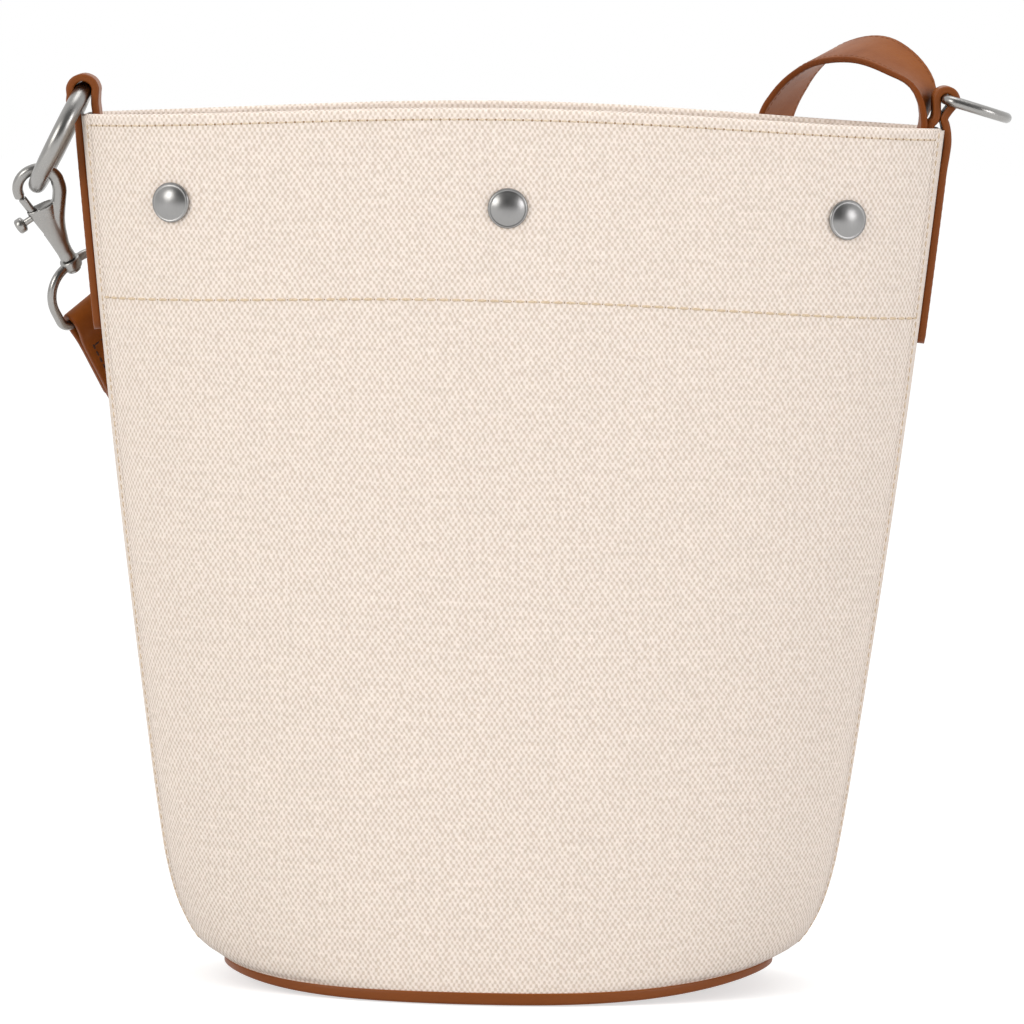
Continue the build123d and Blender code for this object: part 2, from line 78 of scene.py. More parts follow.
# Bag's outline
HEIGHT, RIM_ARCH = 332.0, 6.0
RIM_WIDTH, RIM_DEPTH = 325.0, 114.0
BASE_WIDTH, BASE_DEPTH = 207.0, 150.0
SIDE_FLAT = 20.0
TURN_WIDTH, TURN_DEPTH, TURN_HEIGHT, TURN_ROUND = 23.4, -2.0, 46.0, 0.31
BELLY = 1.8
SOLE_RISE = 4.6
CANVAS, RIM_FOLD = 2.0, 3.4
FACING_DEPTH = 74.0
SOFTNESS = 0.7             # how far the cloth waves in and out
WEAVE_COLUMN, WEAVE_ROW = 2.03, 2.85
COLUMNS = 120              # mesh columns across half of the bag
WALL_ROWS, ROWS_CROWD = 70, 1.6    # mesh rows up a wall, crowded towards the sole

# Stitching
RIM_STITCH_DROP, RIM_STITCH_PITCH = 4.3, 3.4
FACING_STITCH_DROP, FACING_STITCH_RISE, FACING_STITCH_PITCH = 71.3, 3.0, 4.7
LEATHER_STITCH_PITCH = 3.2
THREAD = 0.36              # half thickness of the thread
STITCH_CLEAR = 11.0        # rim and facing stitches leave the sides to the seams and tabs
STITCH_START = 12.0        # way along the rim to the first stitch

# Side seams and sole
SEAM_FRONT, SEAM_BACK, SEAM_PROUD, SEAM_START = 20.0, 12.0, 0.5, 5.2
SEAM_STITCH_INSET, SEAM_MIDDLE = 1.6, -1.8
SOLE_PROUD, SOLE_INNER, SOLE_FLOOR = 1.0, -1.0, 2.4
LIFT_LEFT, LIFT_LEFT_POWER = 6.0, 5.0       # how the soft bottom curls up at its two ends
LIFT_RIGHT, LIFT_RIGHT_POWER = 9.5, 2.8
LIFT_FADE = 75.0
BOARD_LOW, BOARD_HIGH, BOARD_PROUD = 2.6, 4.4, -1.4
BOARD_WEAVE = 1.8

# Leather and its tabs
LEATHER = 2.5
TAB_WIDTH, TAB_DROP, TAB_LEATHER = 20.0, 81.5, 2.9
TAB_OUTER_MIDDLE, TAB_INNER_MIDDLE = 2.1, -5.0
LEFT_LOOP, LEFT_LOOP_RADIUS = (-162.1, 334.6), 4.9
RIGHT_LOOP, RIGHT_LOOP_RADIUS = (163.0, 336.8), 3.6

# Strap
STRAP_WIDTH = 24.0
STRAP_SEWN, STRAP_SEWN_TOP = 60.0, 6.0      # how far below the rim the sewn stations start and end
STRAP_ROOT = 8.07          # how far inside the rim's width the free strap starts
STRAP_INNER_MIDDLE = -7.55
STRAP_STEPS = 12
STRAP_EDGE_STITCH = 1.9
FOLD_LENGTH = 38.0

# Rings
LEFT_RING_CENTRE = (-170.667, 0.0, 316.639)
LEFT_RING_LEAN = 25.5
LEFT_RING_RADIUS, LEFT_RING_WIRE = 19.9, 3.3
RIGHT_RING_DROP, RIGHT_RING_REACH, RIGHT_RING_HALF = 16.0, 24.0, 14.0
RIGHT_RING_WIRE = 2.0

# Hook: its plane, and its parts in that plane (across, along the swivel axis)
HOOK_ORIGIN = (-168.006, 15.619, 270.298)
HOOK_ACROSS = (0.902, -0.019, 0.431)
HOOK_UP = (-0.392, -0.455, 0.800)
HOOK_CENTRE, HOOK_RADIUS, HOOK_WIRE = (2.2, 33.0), 7.8, 2.1
NOSE_ANGLE = 184.0
ARM_WIRE = 2.75
LIP_HEIGHT = 25.4
BOLT_TIP, BOLT_LEAN, BOLT_LENGTH, BOLT_RADIUS = (-5.3, 32.0), 10.0, 17.0, 1.6
BOLT_ROOM = 0.25
BOLT_TRAVEL = 7.0
KNOB_DEPTH, KNOB_REACH, KNOB_RADIUS, KNOB_STEM = 9.8, 8.6, 3.0, 1.3
NECK_RADIUS, NECK_HEAD, NECK_HEAD_TOP, NECK_END = 1.6, 2.7, -4.6, -6.0

SPRING_LENGTH, SPRING_WIRE, SPRING_TURNS, SPRING_KEEP = 7.4, 0.2, 5, 0.16

# Swivel eye
BAR = (0.689, 0.431, 0.583)
EYE_TOP, EYE_DEPTH, EYE_HALF, EYE_WIRE = -2.3, 23.5, 15.2, 1.8
EYE_SHOULDER, EYE_CORNER = 12.0, 4.2
COLLAR_RADIUS, COLLAR_HALF = 4.0, 2.0

# Press studs
SNAPS = ((-126.6, 34.0), (-1.3, 36.9), (125.0, 36.2))    # place across, and drop below the rim

# Camera
CAMERA_PLACE = (2.2, -2850.0, 405.5)
CAMERA_PITCH, CAMERA_ROLL = 4.57, 1.0
CAMERA_LENS, CAMERA_SENSOR = 265.2, 36.0

# Light
WORLD_LIGHT = 0.74
FLOOR_DROP, FLOOR_REACH, FLOOR_GLOW = 0.3, 9000.0, 0.62


# ---------------------------------------------------------------- shapes of the bag
def mix(a, b, t):
    return a + (b - a) * t


def half_sizes(z):
    """Half width and half depth of the canvas's outer face at a height."""
    if z < TURN_HEIGHT:
        t = max(z - SOLE_RISE, 0.0) / (TURN_HEIGHT - SOLE_RISE)
        swell = t ** TURN_ROUND
        return BASE_WIDTH / 2 + TURN_WIDTH * swell, BASE_DEPTH / 2 + TURN_DEPTH * t
    t = (z - TURN_HEIGHT) / (HEIGHT - TURN_HEIGHT)
    width = mix(BASE_WIDTH / 2 + TURN_WIDTH, RIM_WIDTH / 2, t) + BELLY * math.sin(math.pi * t)
    return width, mix(BASE_DEPTH / 2 + TURN_DEPTH, RIM_DEPTH / 2, t)


def rim_height(x):
    return HEIGHT - RIM_ARCH * (2 * x / RIM_WIDTH) ** 2


SIDE_RIM = rim_height(RIM_WIDTH / 2)


def half_outline(z, proud, count=160):
    """Points of the outline's front half from the left side to the right, with their distances."""
    width, depth = half_sizes(z)
    width, depth, flat = width + proud, depth + proud, SIDE_FLAT / 2
    points = [(-width, 0.0)]
    for n in range(count + 1):
        angle = math.pi * n / count
        points.append((-width * math.cos(angle), -flat - (depth - flat) * math.sin(angle)))
    points.append((width, 0.0))
    reach = [0.0]
    for a, b in zip(points, points[1:]):
        reach.append(reach[-1] + math.dist(a, b))
    return points, reach


def along_outline(z, proud, fraction):
    """Point a fraction of the way round the front half, its outward way, and its distance from the middle."""
    points, reach = half_outline(z, proud)
    goal = fraction * reach[-1]
    i = next((k for k in range(1, len(reach)) if reach[k] >= goal), len(reach) - 1)
    span = max(reach[i] - reach[i - 1], 1e-9)
    a, b = Vector(points[i - 1]), Vector(points[i])
    point = a.lerp(b, (goal - reach[i - 1]) / span)
    run = (b - a).normalized()
    return point, Vector((run.y, -run.x)), goal - reach[-1] / 2


def lift(x, z=0.0):
    """How far the bottom curls up, most at the two ends, fading out up the walls."""
    top, power = (LIFT_RIGHT, LIFT_RIGHT_POWER) if x > 0 else (LIFT_LEFT, LIFT_LEFT_POWER)
    fade = max(1 - z / LIFT_FADE, 0.0) ** 1.5
    return top * min(abs(x) / (BASE_WIDTH / 2), 1.15) ** power * fade


def band(fraction):
    """Share of the sole's height that shows, least at the two ends."""
    return mix(0.3, 1.0, max(math.sin(math.pi * fraction), 0.0) ** 0.8)


def softness(fraction, z):
    """Slow waves of the cloth, which fade out at the rim, the sole and the sides."""
    side = math.sin(math.pi * fraction) ** 2
    rise = math.sin(math.pi * min(max((z - SOLE_RISE) / (HEIGHT - SOLE_RISE), 0.0), 1.0))
    wave = math.sin(7.3 * fraction + 0.011 * z) + 0.6 * math.sin(13.1 * fraction - 0.023 * z + 1.0)
    return SOFTNESS * side * rise * wave * 0.6


# ---------------------------------------------------------------- mesh making
def add_object(name, mesh, material):
    piece = bpy.data.objects.new(name, mesh)
    bpy.context.scene.collection.objects.link(piece)
    mesh.materials.append(material)
    return piece


def smooth(mesh, sharp=math.radians(50)):
    mesh.polygons.foreach_set("use_smooth", [True] * len(mesh.polygons))
    mesh.set_sharp_from_angle(angle=sharp)


def mesh_from(name, points, faces, cloth=None, edge=None, sharp=math.radians(50)):
    """Mesh from points in millimetres, with optional cloth coordinates and painted-edge amounts."""
    mesh = bpy.data.meshes.new(name)
    mesh.from_pydata([tuple(c * MM for c in p) for p in points], [], faces)
    if cloth:
        layer = mesh.uv_layers.new(name="cloth")
        for loop in mesh.loops:
            u, v = cloth[loop.vertex_index]
            layer.data[loop.index].uv = (u * MM, v * MM)
    if edge:
        values = mesh.attributes.new("edge", "FLOAT", "POINT")
        values.data.foreach_set("value", edge)
    mesh.validate()
    smooth(mesh, sharp)
    return mesh


def grid_faces(rows, columns, closed=False):
    """Quads between rows of points that follow one another."""
    faces = []
    across = columns if closed else columns - 1
    for r in range(rows - 1):
        for c in range(across):
            d = (c + 1) % columns
            faces.append((r * columns + c, r * columns + d, (r + 1) * columns + d, (r + 1) * columns + c))
    return faces


def lathe(profile, place, axis, steps=48):
    """Points and faces of a (radius, height) profile turned round an axis."""
    axis = Vector(axis).normalized()
    side = axis.orthogonal().normalized()
    other = axis.cross(side)
    points = []
    for radius, height in profile:
        for n in range(steps):
            angle = 2 * math.pi * n / steps
            around = side * math.cos(angle) + other * math.sin(angle)
            points.append(Vector(place) + axis * height + around * radius)
    return points, grid_faces(len(profile), steps, closed=True)


def join_shapes(shapes):
    """Several (points, faces) as one."""
    points, faces = [], []
    for some_points, some_faces in shapes:
        base = len(points)
        points += some_points
        faces += [tuple(i + base for i in face) for face in some_faces]
    return points, faces


def tube(path, radii, closed=False, steps=20):
    """Points and faces of a round tube along a path."""
    count = len(path)
    path = [Vector(p) for p in path]
    if isinstance(radii, (int, float)):
        radii = [radii] * count
    points, normal = [], None
    for i, middle in enumerate(path):
        before = path[i - 1] if closed or i else path[i]
        after = path[(i + 1) % count] if closed or i < count - 1 else path[i]
        way = (after - before).normalized()
        normal = way.orthogonal() if normal is None else normal
        normal = (normal - way * normal.dot(way)).normalized()
        other = way.cross(normal)
        for n in range(steps):
            angle = 2 * math.pi * n / steps
            points.append(middle + (normal * math.cos(angle) + other * math.sin(angle)) * radii[i])
    faces = grid_faces(count, steps, closed=True)
    if closed:
        last = (count - 1) * steps
        faces += [(last + n, last + (n + 1) % steps, (n + 1) % steps, n) for n in range(steps)]
    else:
        faces.append(tuple(reversed(range(steps))))
        faces.append(tuple((count - 1) * steps + n for n in range(steps)))
    return points, faces


def catmull(points, i, t):
    """Point between points i and i + 1 of a smooth curve with mirrored ends."""
    a = points[i - 1] if i else points[0] * 2 - points[1]
    b, c = points[i], points[i + 1]
    d = points[i + 2] if i + 2 < len(points) else points[-1] * 2 - points[-2]
    line = (c - a) * t + (a * 2 - b * 5 + c * 4 - d) * t**2 + (b * 3 - a - c * 3 + d) * t**3
    return b + line * 0.5


def smooth_path(points, steps):
    points = [Vector(p) for p in points]
    line = [catmull(points, i, n / steps) for i in range(len(points) - 1) for n in range(steps)]
    return line + [points[-1]]


def rounded(points, radii, steps=14):
    """Open flat path with its inner corners rounded off."""
    path = [Vector(points[0])]
    for corner, radius, before, after in zip(points[1:-1], radii, points, points[2:]):
        corner = Vector(corner)
        back, ahead = (Vector(before) - corner).normalized(), (Vector(after) - corner).normalized()
        half = back.angle(ahead) / 2
        centre = corner + (back + ahead).normalized() * (radius / math.sin(half))
        start = corner + back * (radius / math.tan(half)) - centre
        end = corner + ahead * (radius / math.tan(half)) - centre
        for n in range(steps + 1):
            path.append(centre + start.normalized().slerp(end.normalized(), n / steps) * start.length)
    return path + [Vector(points[-1])]


def on_plane(origin, x_axis, y_axis, points):
    origin, x_axis, y_axis = Vector(origin), Vector(x_axis), Vector(y_axis)
    return [origin + x_axis * p[0] + y_axis * p[1] for p in points]


# ---------------------------------------------------------------- ribbons of leather
def section_profile(half_width, half_thick):
    """Rounded rectangle as (across, out, edge) points."""
    corner = half_thick * 0.62
    profile = []
    for side, face in ((1, 1), (-1, 1), (-1, -1), (1, -1)):
        turn = []
        for n in range(4):
            angle = math.pi / 2 * n / 3
            inset_across, inset_out = math.sin(angle), math.cos(angle)
            turn.append((
                side * (half_width - corner + corner * inset_across),
                face * (half_thick - corner + corner * inset_out),
                0.25 if n == 0 else 1.0,
            ))
        profile += turn if (side, face) in ((-1, 1), (1, -1)) else turn[::-1]
        if (side, face) in ((1, 1), (-1, -1)):
            for part in (0.94, 0.5, 0.0, -0.5, -0.94):
                profile.append((side * part * (half_width - corner), face * half_thick, 0.0))
    return profile


def ribbon_frames(middles, ways):
    """Middle, across, face normal and distance at each point of a ribbon's middle line."""
    frames, distance = [], 0.0
    for i, middle in enumerate(middles):
        before, after = middles[max(i - 1, 0)], middles[min(i + 1, len(middles) - 1)]
        along = (after - before).normalized()
        across = (ways[i] - along * ways[i].dot(along)).normalized()
        distance += (middle - middles[i - 1]).length if i else 0.0
        frames.append((middle, across, along.cross(across), distance))
    return frames


def end_width(distance, total, width, corner, round_start, round_end):
    """Width of a ribbon near its rounded ends."""
    gaps = [corner]
    if round_start:
        gaps.append(distance)
    if round_end:
        gaps.append(total - distance)
    gap = max(min(gaps), 0.0)
    return width - 2 * corner * (1 - math.sqrt(max(1 - (1 - gap / corner) ** 2, 0.0)))


def ribbon_mesh(name, frames, width, thick, round_start=False, round_end=False, corner=5.0):
    """Flat leather strip with rounded, painted edges along its frames."""
    total = frames[-1][3]
    points, cloth, edge = [], [], []
    for middle, across, out, distance in frames:
        here = end_width(distance, total, width, corner, round_start, round_end)
        profile = section_profile(here / 2, thick / 2)
        for a, n, paint in profile:
            points.append(middle + across * a + out * n)
            cloth.append((a, distance))
            at_end = (round_start and distance < 0.3) or (round_end and total - distance < 0.3)
            edge.append(1.0 if at_end else paint)
    columns = len(profile)
    faces = grid_faces(len(frames), columns, closed=True)
    faces.append(tuple(range(columns)))
    last = (len(frames) - 1) * columns
    faces.append(tuple(last + n for n in reversed(range(columns))))
    return mesh_from(name, points, faces, cloth, edge)


def dense_ends(middles, ways, count=8, reach=5.0):
    """Adds points near both ends, so that a rounded end is smooth."""
    pairs = list(zip(middles, ways))

    def crowd(first, second):
        split = first[0].lerp(second[0], min(reach / (second[0] - first[0]).length, 0.9))
        return [(first[0].lerp(split, (n / count) ** 2), first[1]) for n in range(count)]

    pairs = crowd(pairs[0], pairs[1]) + pairs[1:-1] + crowd(pairs[-1], pairs[-2])[::-1]
    return [place for place, _ in pairs], [way for _, way in pairs]


# ---------------------------------------------------------------- stitches
def beads(name, frames, size, material, body):
    """Small rounded pieces, one at each (middle, way, out) frame, as one mesh."""
    length, width, height = size
    rings, steps = 5, 8
    points, faces = [], []
    for middle, way, out in frames:
        way = way.normalized()
        out = (out - way * out.dot(way)).normalized()
        side = way.cross(out)
        base = len(points)
        for r in range(rings):
            angle = math.pi * r / (rings - 1)
            reach, scale = -math.cos(angle) * length, max(math.sin(angle), 0.12) ** 0.7
            for n in range(steps):
                turn = 2 * math.pi * n / steps
                points.append(middle + way * reach + side * (math.cos(turn) * width * scale)
                              + out * (math.sin(turn) * height * scale))
        faces += [tuple(i + base for i in f) for f in grid_faces(rings, steps, closed=True)]
        faces.append(tuple(base + n for n in reversed(range(steps))))
        faces.append(tuple(base + (rings - 1) * steps + n for n in range(steps)))
    piece = add_object(name, mesh_from(name, points, faces, sharp=math.pi), material)
    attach(piece, body)
    return piece


def paced(points, outs, pitch, offset=0.0):
    """Frames at an even pitch along a line of points with outward ways."""
    frames, travelled, goal = [], 0.0, offset
    for i in range(len(points) - 1):
        a, b = points[i], points[i + 1]
        span = (b - a).length
        while span > 0 and travelled + span >= goal:
            t = (goal - travelled) / span
            frames.append((a.lerp(b, t), b - a, outs[i].lerp(outs[i + 1], t)))
            goal += pitch
        travelled += span
    return frames


# ---------------------------------------------------------------- materials
def new_material(name):
    material = bpy.data.materials.new(name)
    material.use_nodes = True
    nodes, links = material.node_tree.nodes, material.node_tree.links
    nodes.clear()
    shader = nodes.new("ShaderNodeBsdfPrincipled")
    output = nodes.new("ShaderNodeOutputMaterial")
    links.new(shader.outputs["BSDF"], output.inputs["Surface"])
    return material, nodes, links, shader


def math_node(nodes, links, operation, first, second=None):
    node = nodes.new("ShaderNodeMath")
    node.operation = operation
    for socket, value in zip(node.inputs, (first, second)):
        if isinstance(value, bpy.types.NodeSocket):
            links.new(value, socket)
        elif value is not None:
            socket.default_value = value
    return node.outputs[0]


def noise(nodes, links, vector, scale, detail=3.0, roughness=0.5):
    node = nodes.new("ShaderNodeTexNoise")
    node.inputs["Scale"].default_value = scale
    node.inputs["Detail"].default_value = detail
    node.inputs["Roughness"].default_value = roughness
    links.new(vector, node.inputs["Vector"])
    return node.outputs["Fac"]


def map_range(nodes, links, value, low, high, to_low, to_high, smoothly=False):
    node = nodes.new("ShaderNodeMapRange")
    node.interpolation_type = "SMOOTHSTEP" if smoothly else "LINEAR"
    links.new(value, node.inputs["Value"])
    for socket, number in zip(("From Min", "From Max", "To Min", "To Max"), (low, high, to_low, to_high)):
        node.inputs[socket].default_value = number
    return node.outputs["Result"]


def mix_colour(nodes, links, amount, first, second, blend="MIX"):
    node = nodes.new("ShaderNodeMix")
    node.data_type = "RGBA"
    node.blend_type = blend
    for socket, value in ((node.inputs[0], amount), (node.inputs[6], first), (node.inputs[7], second)):
        if isinstance(value, bpy.types.NodeSocket):
            links.new(value, socket)
        elif isinstance(value, tuple):
            socket.default_value = (*value, 1.0)
        else:
            socket.default_value = value
    return node.outputs[2]


def bump(nodes, links, height, distance, strength=1.0):
    node = nodes.new("ShaderNodeBump")
    node.inputs["Distance"].default_value = distance
    node.inputs["Strength"].default_value = strength
    links.new(height, node.inputs["Height"])
    return node.outputs["Normal"]


def scaled(nodes, links, vector, scale):
    node = nodes.new("ShaderNodeVectorMath")
    node.operation = "MULTIPLY"
    links.new(vector, node.inputs[0])
    node.inputs[1].default_value = scale
    return node.outputs[0]


def wave(nodes, links, value, period, operation="COSINE"):
    """Wave of a value, which repeats at each period."""
    turn = math_node(nodes, links, "MULTIPLY", value, 2 * math.pi / period)
    return math_node(nodes, links, operation, turn)


def canvas_material(name, thread, gap, column=WEAVE_COLUMN, row=WEAVE_ROW):
    """Plain canvas: raised cream yarn crossings in an offset lattice over darker gaps, whose darker colour is
    painted shade between the yarns.
    """
    material, nodes, links, shader = new_material(name)
    cloth = nodes.new("ShaderNodeUVMap")
    cloth.uv_map = "cloth"
    flat = scaled(nodes, links, cloth.outputs["UV"], (1 / MM, 1 / MM, 1.0))
    wander = noise(nodes, links, scaled(nodes, links, flat, (0.11, 0.11, 1.0)), 1.0, 2.0)
    split = nodes.new("ShaderNodeSeparateXYZ")
    links.new(flat, split.inputs[0])
    shift = map_range(nodes, links, wander, 0.3, 0.7, -0.35, 0.35)
    across = math_node(nodes, links, "ADD", split.outputs[0], shift)
    along = math_node(nodes, links, "ADD", split.outputs[1], shift)
    columns, rows = wave(nodes, links, across, column), wave(nodes, links, along, row)
    lattice = math_node(nodes, links, "MULTIPLY", columns, rows)
    yarn = noise(nodes, links, scaled(nodes, links, flat, (1 / column, 1 / row, 1.0)), 1.1, 2.0, 0.6)
    uneven = map_range(nodes, links, yarn, 0.3, 0.7, -0.38, 0.38)
    height = math_node(nodes, links, "ADD", lattice, uneven)
    raised = map_range(nodes, links, height, -0.9, 0.55, 0.0, 1.0, True)
    # the gap colour is painted shade in the hollows between the raised yarns
    colour = mix_colour(nodes, links, raised, gap, thread)
    streak = noise(nodes, links, scaled(nodes, links, flat, (0.05, 0.7, 1.0)), 1.0, 3.0)
    upright = noise(nodes, links, scaled(nodes, links, flat, (0.9, 0.04, 1.0)), 1.0, 3.0)
    tone = math_node(nodes, links, "MULTIPLY", map_range(nodes, links, streak, 0.25, 0.75, 0.95, 1.03),
                     map_range(nodes, links, upright, 0.25, 0.75, 0.965, 1.025))
    tint = nodes.new("ShaderNodeCombineColor")
    for socket in tint.inputs:
        links.new(tone, socket)
    colour = mix_colour(nodes, links, 1.0, colour, tint.outputs[0], "MULTIPLY")
    patch = noise(nodes, links, scaled(nodes, links, flat, (0.35, 0.25, 1.0)), 1.0, 2.0)
    warm = map_range(nodes, links, patch, 0.35, 0.65, 0.0, 0.5)
    warmer = mix_colour(nodes, links, 1.0, colour, (1.0, 0.975, 0.985), "MULTIPLY")
    colour = mix_colour(nodes, links, warm, colour, warmer)
    links.new(colour, shader.inputs["Base Color"])
    shader.inputs["Roughness"].default_value = 0.92
    shader.inputs["Specular IOR Level"].default_value = 0.18
    shader.inputs["Sheen Weight"].default_value = 0.12
    shader.inputs["Sheen Roughness"].default_value = 0.5
    links.new(bump(nodes, links, raised, 0.25 * MM, 0.8), shader.inputs["Normal"])
    return material


def leather_material(name, colour, dark, paint, gloss):
    """Smooth leather with fine pores, cloudy colour and darker painted edges."""
    material, nodes, links, shader = new_material(name)
    place = nodes.new("ShaderNodeTexCoord").outputs["Object"]
    cloud = noise(nodes, links, place, 38.0, 5.0, 0.62)
    base = mix_colour(nodes, links, map_range(nodes, links, cloud, 0.35, 0.68, 0.0, 1.0), dark, colour)
    speck = noise(nodes, links, place, 1500.0, 2.0)
    base = mix_colour(nodes, links, map_range(nodes, links, speck, 0.5, 0.72, 0.0, 0.22), base, dark)
    edge = nodes.new("ShaderNodeAttribute")
    edge.attribute_name = "edge"
    painted = map_range(nodes, links, edge.outputs["Fac"], 0.3, 0.9, 0.0, 0.85, True)
    links.new(mix_colour(nodes, links, painted, base, paint), shader.inputs["Base Color"])
    pores = nodes.new("ShaderNodeTexVoronoi")
    pores.inputs["Scale"].default_value = 1150.0
    links.new(place, pores.inputs["Vector"])
    crease = math_node(nodes, links, "MULTIPLY", noise(nodes, links, place, 240.0, 4.0, 0.6), 1.4)
    relief = math_node(nodes, links, "ADD", pores.outputs["Distance"], crease)
    links.new(bump(nodes, links, relief, 0.06 * MM, 0.5), shader.inputs["Normal"])
    links.new(map_range(nodes, links, cloud, 0.3, 0.7, 0.5, 0.38), shader.inputs["Roughness"])
    shader.inputs["Specular IOR Level"].default_value = gloss
    return material


def metal_material(name, colour, low, high):
    """Plated metal with a soft, slightly uneven polish and faint rub marks."""
    material, nodes, links, shader = new_material(name)
    place = nodes.new("ShaderNodeTexCoord").outputs["Object"]
    cloud = noise(nodes, links, place, 160.0, 4.0, 0.6)
    rub = noise(nodes, links, scaled(nodes, links, place, (1100.0, 1100.0, 160.0)), 1.0, 3.0, 0.6)
    links.new(map_range(nodes, links, cloud, 0.3, 0.7, low, high), shader.inputs["Roughness"])
    shade = map_range(nodes, links, rub, 0.3, 0.7, 0.0, 0.2)
    worn = tuple(c * 0.78 for c in colour)
    links.new(mix_colour(nodes, links, shade, colour, worn), shader.inputs["Base Color"])
    shader.inputs["Metallic"].default_value = 1.0
    links.new(bump(nodes, links, rub, 0.004 * MM, 0.12), shader.inputs["Normal"])
    return material


def thread_material(name, colour, dark):
    """Twisted sewing thread."""
    material, nodes, links, shader = new_material(name)
    place = nodes.new("ShaderNodeTexCoord").outputs["Object"]
    twist = noise(nodes, links, place, 2400.0, 2.0)
    links.new(mix_colour(nodes, links, map_range(nodes, links, twist, 0.35, 0.65, 0.0, 1.0), dark, colour),
              shader.inputs["Base Color"])
    links.new(bump(nodes, links, twist, 0.08 * MM, 0.5), shader.inputs["Normal"])
    shader.inputs["Roughness"].default_value = 0.8
    return material


def board_material(name, colour, dark):
    """Lining cloth over the base board, darker where its weave sinks (painted shade) and in random flecks."""
    material, nodes, links, shader = new_material(name)
    place = nodes.new("ShaderNodeTexCoord").outputs["Object"]
    split = nodes.new("ShaderNodeSeparateXYZ")
    links.new(scaled(nodes, links, place, (1 / MM, 1 / MM, 1 / MM)), split.inputs[0])
    wave_x = wave(nodes, links, split.outputs[0], BOARD_WEAVE, "SINE")
    wave_y = wave(nodes, links, split.outputs[1], BOARD_WEAVE, "SINE")
    weave = math_node(nodes, links, "MULTIPLY", wave_x, wave_y)
    fleck = noise(nodes, links, place, 420.0, 3.0)
    # darker where the weave sinks is painted shade; the flecks are random tone
    amount = math_node(nodes, links, "ADD", map_range(nodes, links, weave, -1.0, 1.0, 0.0, 0.6),
                       map_range(nodes, links, fleck, 0.3, 0.7, 0.0, 0.4))
    links.new(mix_colour(nodes, links, amount, dark, colour), shader.inputs["Base Color"])
    links.new(bump(nodes, links, weave, 0.12 * MM, 0.6), shader.inputs["Normal"])
    shader.inputs["Roughness"].default_value = 0.9
    return material


# ---------------------------------------------------------------- canvas
def wall_levels():
    """(share of the height, proud, drop below the rim) of each row of a canvas half."""
    rows = [((n / WALL_ROWS) ** ROWS_CROWD, 0.0, 0.0) for n in range(WALL_ROWS)]
    radius = RIM_FOLD / 2
    top = []
    for n in range(9):
        angle = math.pi * n / 8
        top.append((1.0, -radius + radius * math.cos(angle), radius * (1 - math.sin(angle))))
    rows += [(1.0, 0.0, drop) for drop in (12.0, 8.0, 5.0, 3.0)] + top
    rows += [(1.0, -RIM_FOLD, drop) for drop in (8.0, 20.0, 40.0, 60.0, FACING_DEPTH - 0.6)]
    rows += [(1.0, -RIM_FOLD + 0.5, FACING_DEPTH), (1.0, -CANVAS - 0.2, FACING_DEPTH + 0.1)]
    rows += [(share / 40, -CANVAS, 0.0) for share in range(29, -1, -1)]
    return rows


def canvas_half(name, back, material, nodes_replaced):
    """Front or back of the bag: outer face, rounded rim, facing and inner face in one shell."""
    points, cloth = [], []
    rows = wall_levels()
    cached = {}
    for share, proud, drop in rows:
        for c in range(COLUMNS + 1):
            fraction = c / COLUMNS
            rim = rim_height(-RIM_WIDTH / 2 * math.cos(math.pi * fraction))
            low = (SOLE_RISE - 1.6) * band(fraction)
            z = rim - drop if share == 1.0 else mix(low, rim - 14.0, share)
            key = (round(z, 3), proud, c)
            if key not in cached:
                cached[key] = along_outline(z, proud, fraction)
            point, out, distance = cached[key]
            point = point + out * softness(fraction, z)
            side = -1.0 if back else 1.0
            points.append((point.x * side, point.y * side, z + lift(point.x * side, z)))
            cloth.append((distance, z if proud > -CANVAS / 2 else z + 1.1))
    faces = grid_faces(len(rows), COLUMNS + 1)
    piece = add_object(name, mesh_from(name, points, faces, cloth), material)
    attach(piece, "bag")
    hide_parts(*nodes_replaced)
    return piece


def rim_line(drop, proud, back, rise=0.0, count=900):
    """Points and outward ways along one half of the bag at a drop below the rim."""
    points, outs = [], []
    side = -1.0 if back else 1.0
    for n in range(count + 1):
        fraction = n / count
        left = fraction if back else 1 - fraction
        z = rim_height(-RIM_WIDTH / 2 * math.cos(math.pi * fraction)) - drop + rise * max(2 * left - 1, 0.0)
        point, out, _ = along_outline(z, proud, fraction)
        point = point + out * softness(fraction, z)
        points.append(Vector((point.x * side, point.y * side, z)))
        outs.append(Vector((out.x * side, out.y * side, 0.0)))
    return points, outs


STITCH_ROWS = (            # name, drop, proud, rise, pitch, stitch size, and size of the dark dots of painted shade in the needle holes
    ("rim", RIM_STITCH_DROP, 0.05, 0.0, RIM_STITCH_PITCH, (1.15, THREAD, 0.3), (0.42, 0.42, 0.12)),
    ("facing", FACING_STITCH_DROP, 0.1, FACING_STITCH_RISE, FACING_STITCH_PITCH,
     (1.75, 0.5, 0.34), (0.22, 0.3, 0.08)),
)


def canvas_stitching(rim_thread, facing_thread, hole_shade):
    """Rim and facing stitches of both halves, each row with dark dots of painted shade in the needle holes
    between them.
    """
    threads = {"rim": rim_thread, "facing": facing_thread}
    for back in (False, True):
        half = "back" if back else "front"
        for row, drop, proud, rise, pitch, stitch_size, hole_shade_size in STITCH_ROWS:
            points, outs = rim_line(drop, proud, back, rise)
            # the needle-hole dots are painted shade, set half a pitch from the stitches
            for kind, shift, size, material in (("stitches", 0.0, stitch_size, threads[row]),
                                                ("needle_hole_shade", pitch / 2, hole_shade_size, hole_shade)):
                frames = [frame for frame in paced(points, outs, pitch, STITCH_START + shift)
                          if abs(frame[0].y) > STITCH_CLEAR]
                beads(f"{row}_{kind}_{half}", frames, size, material, "bag")


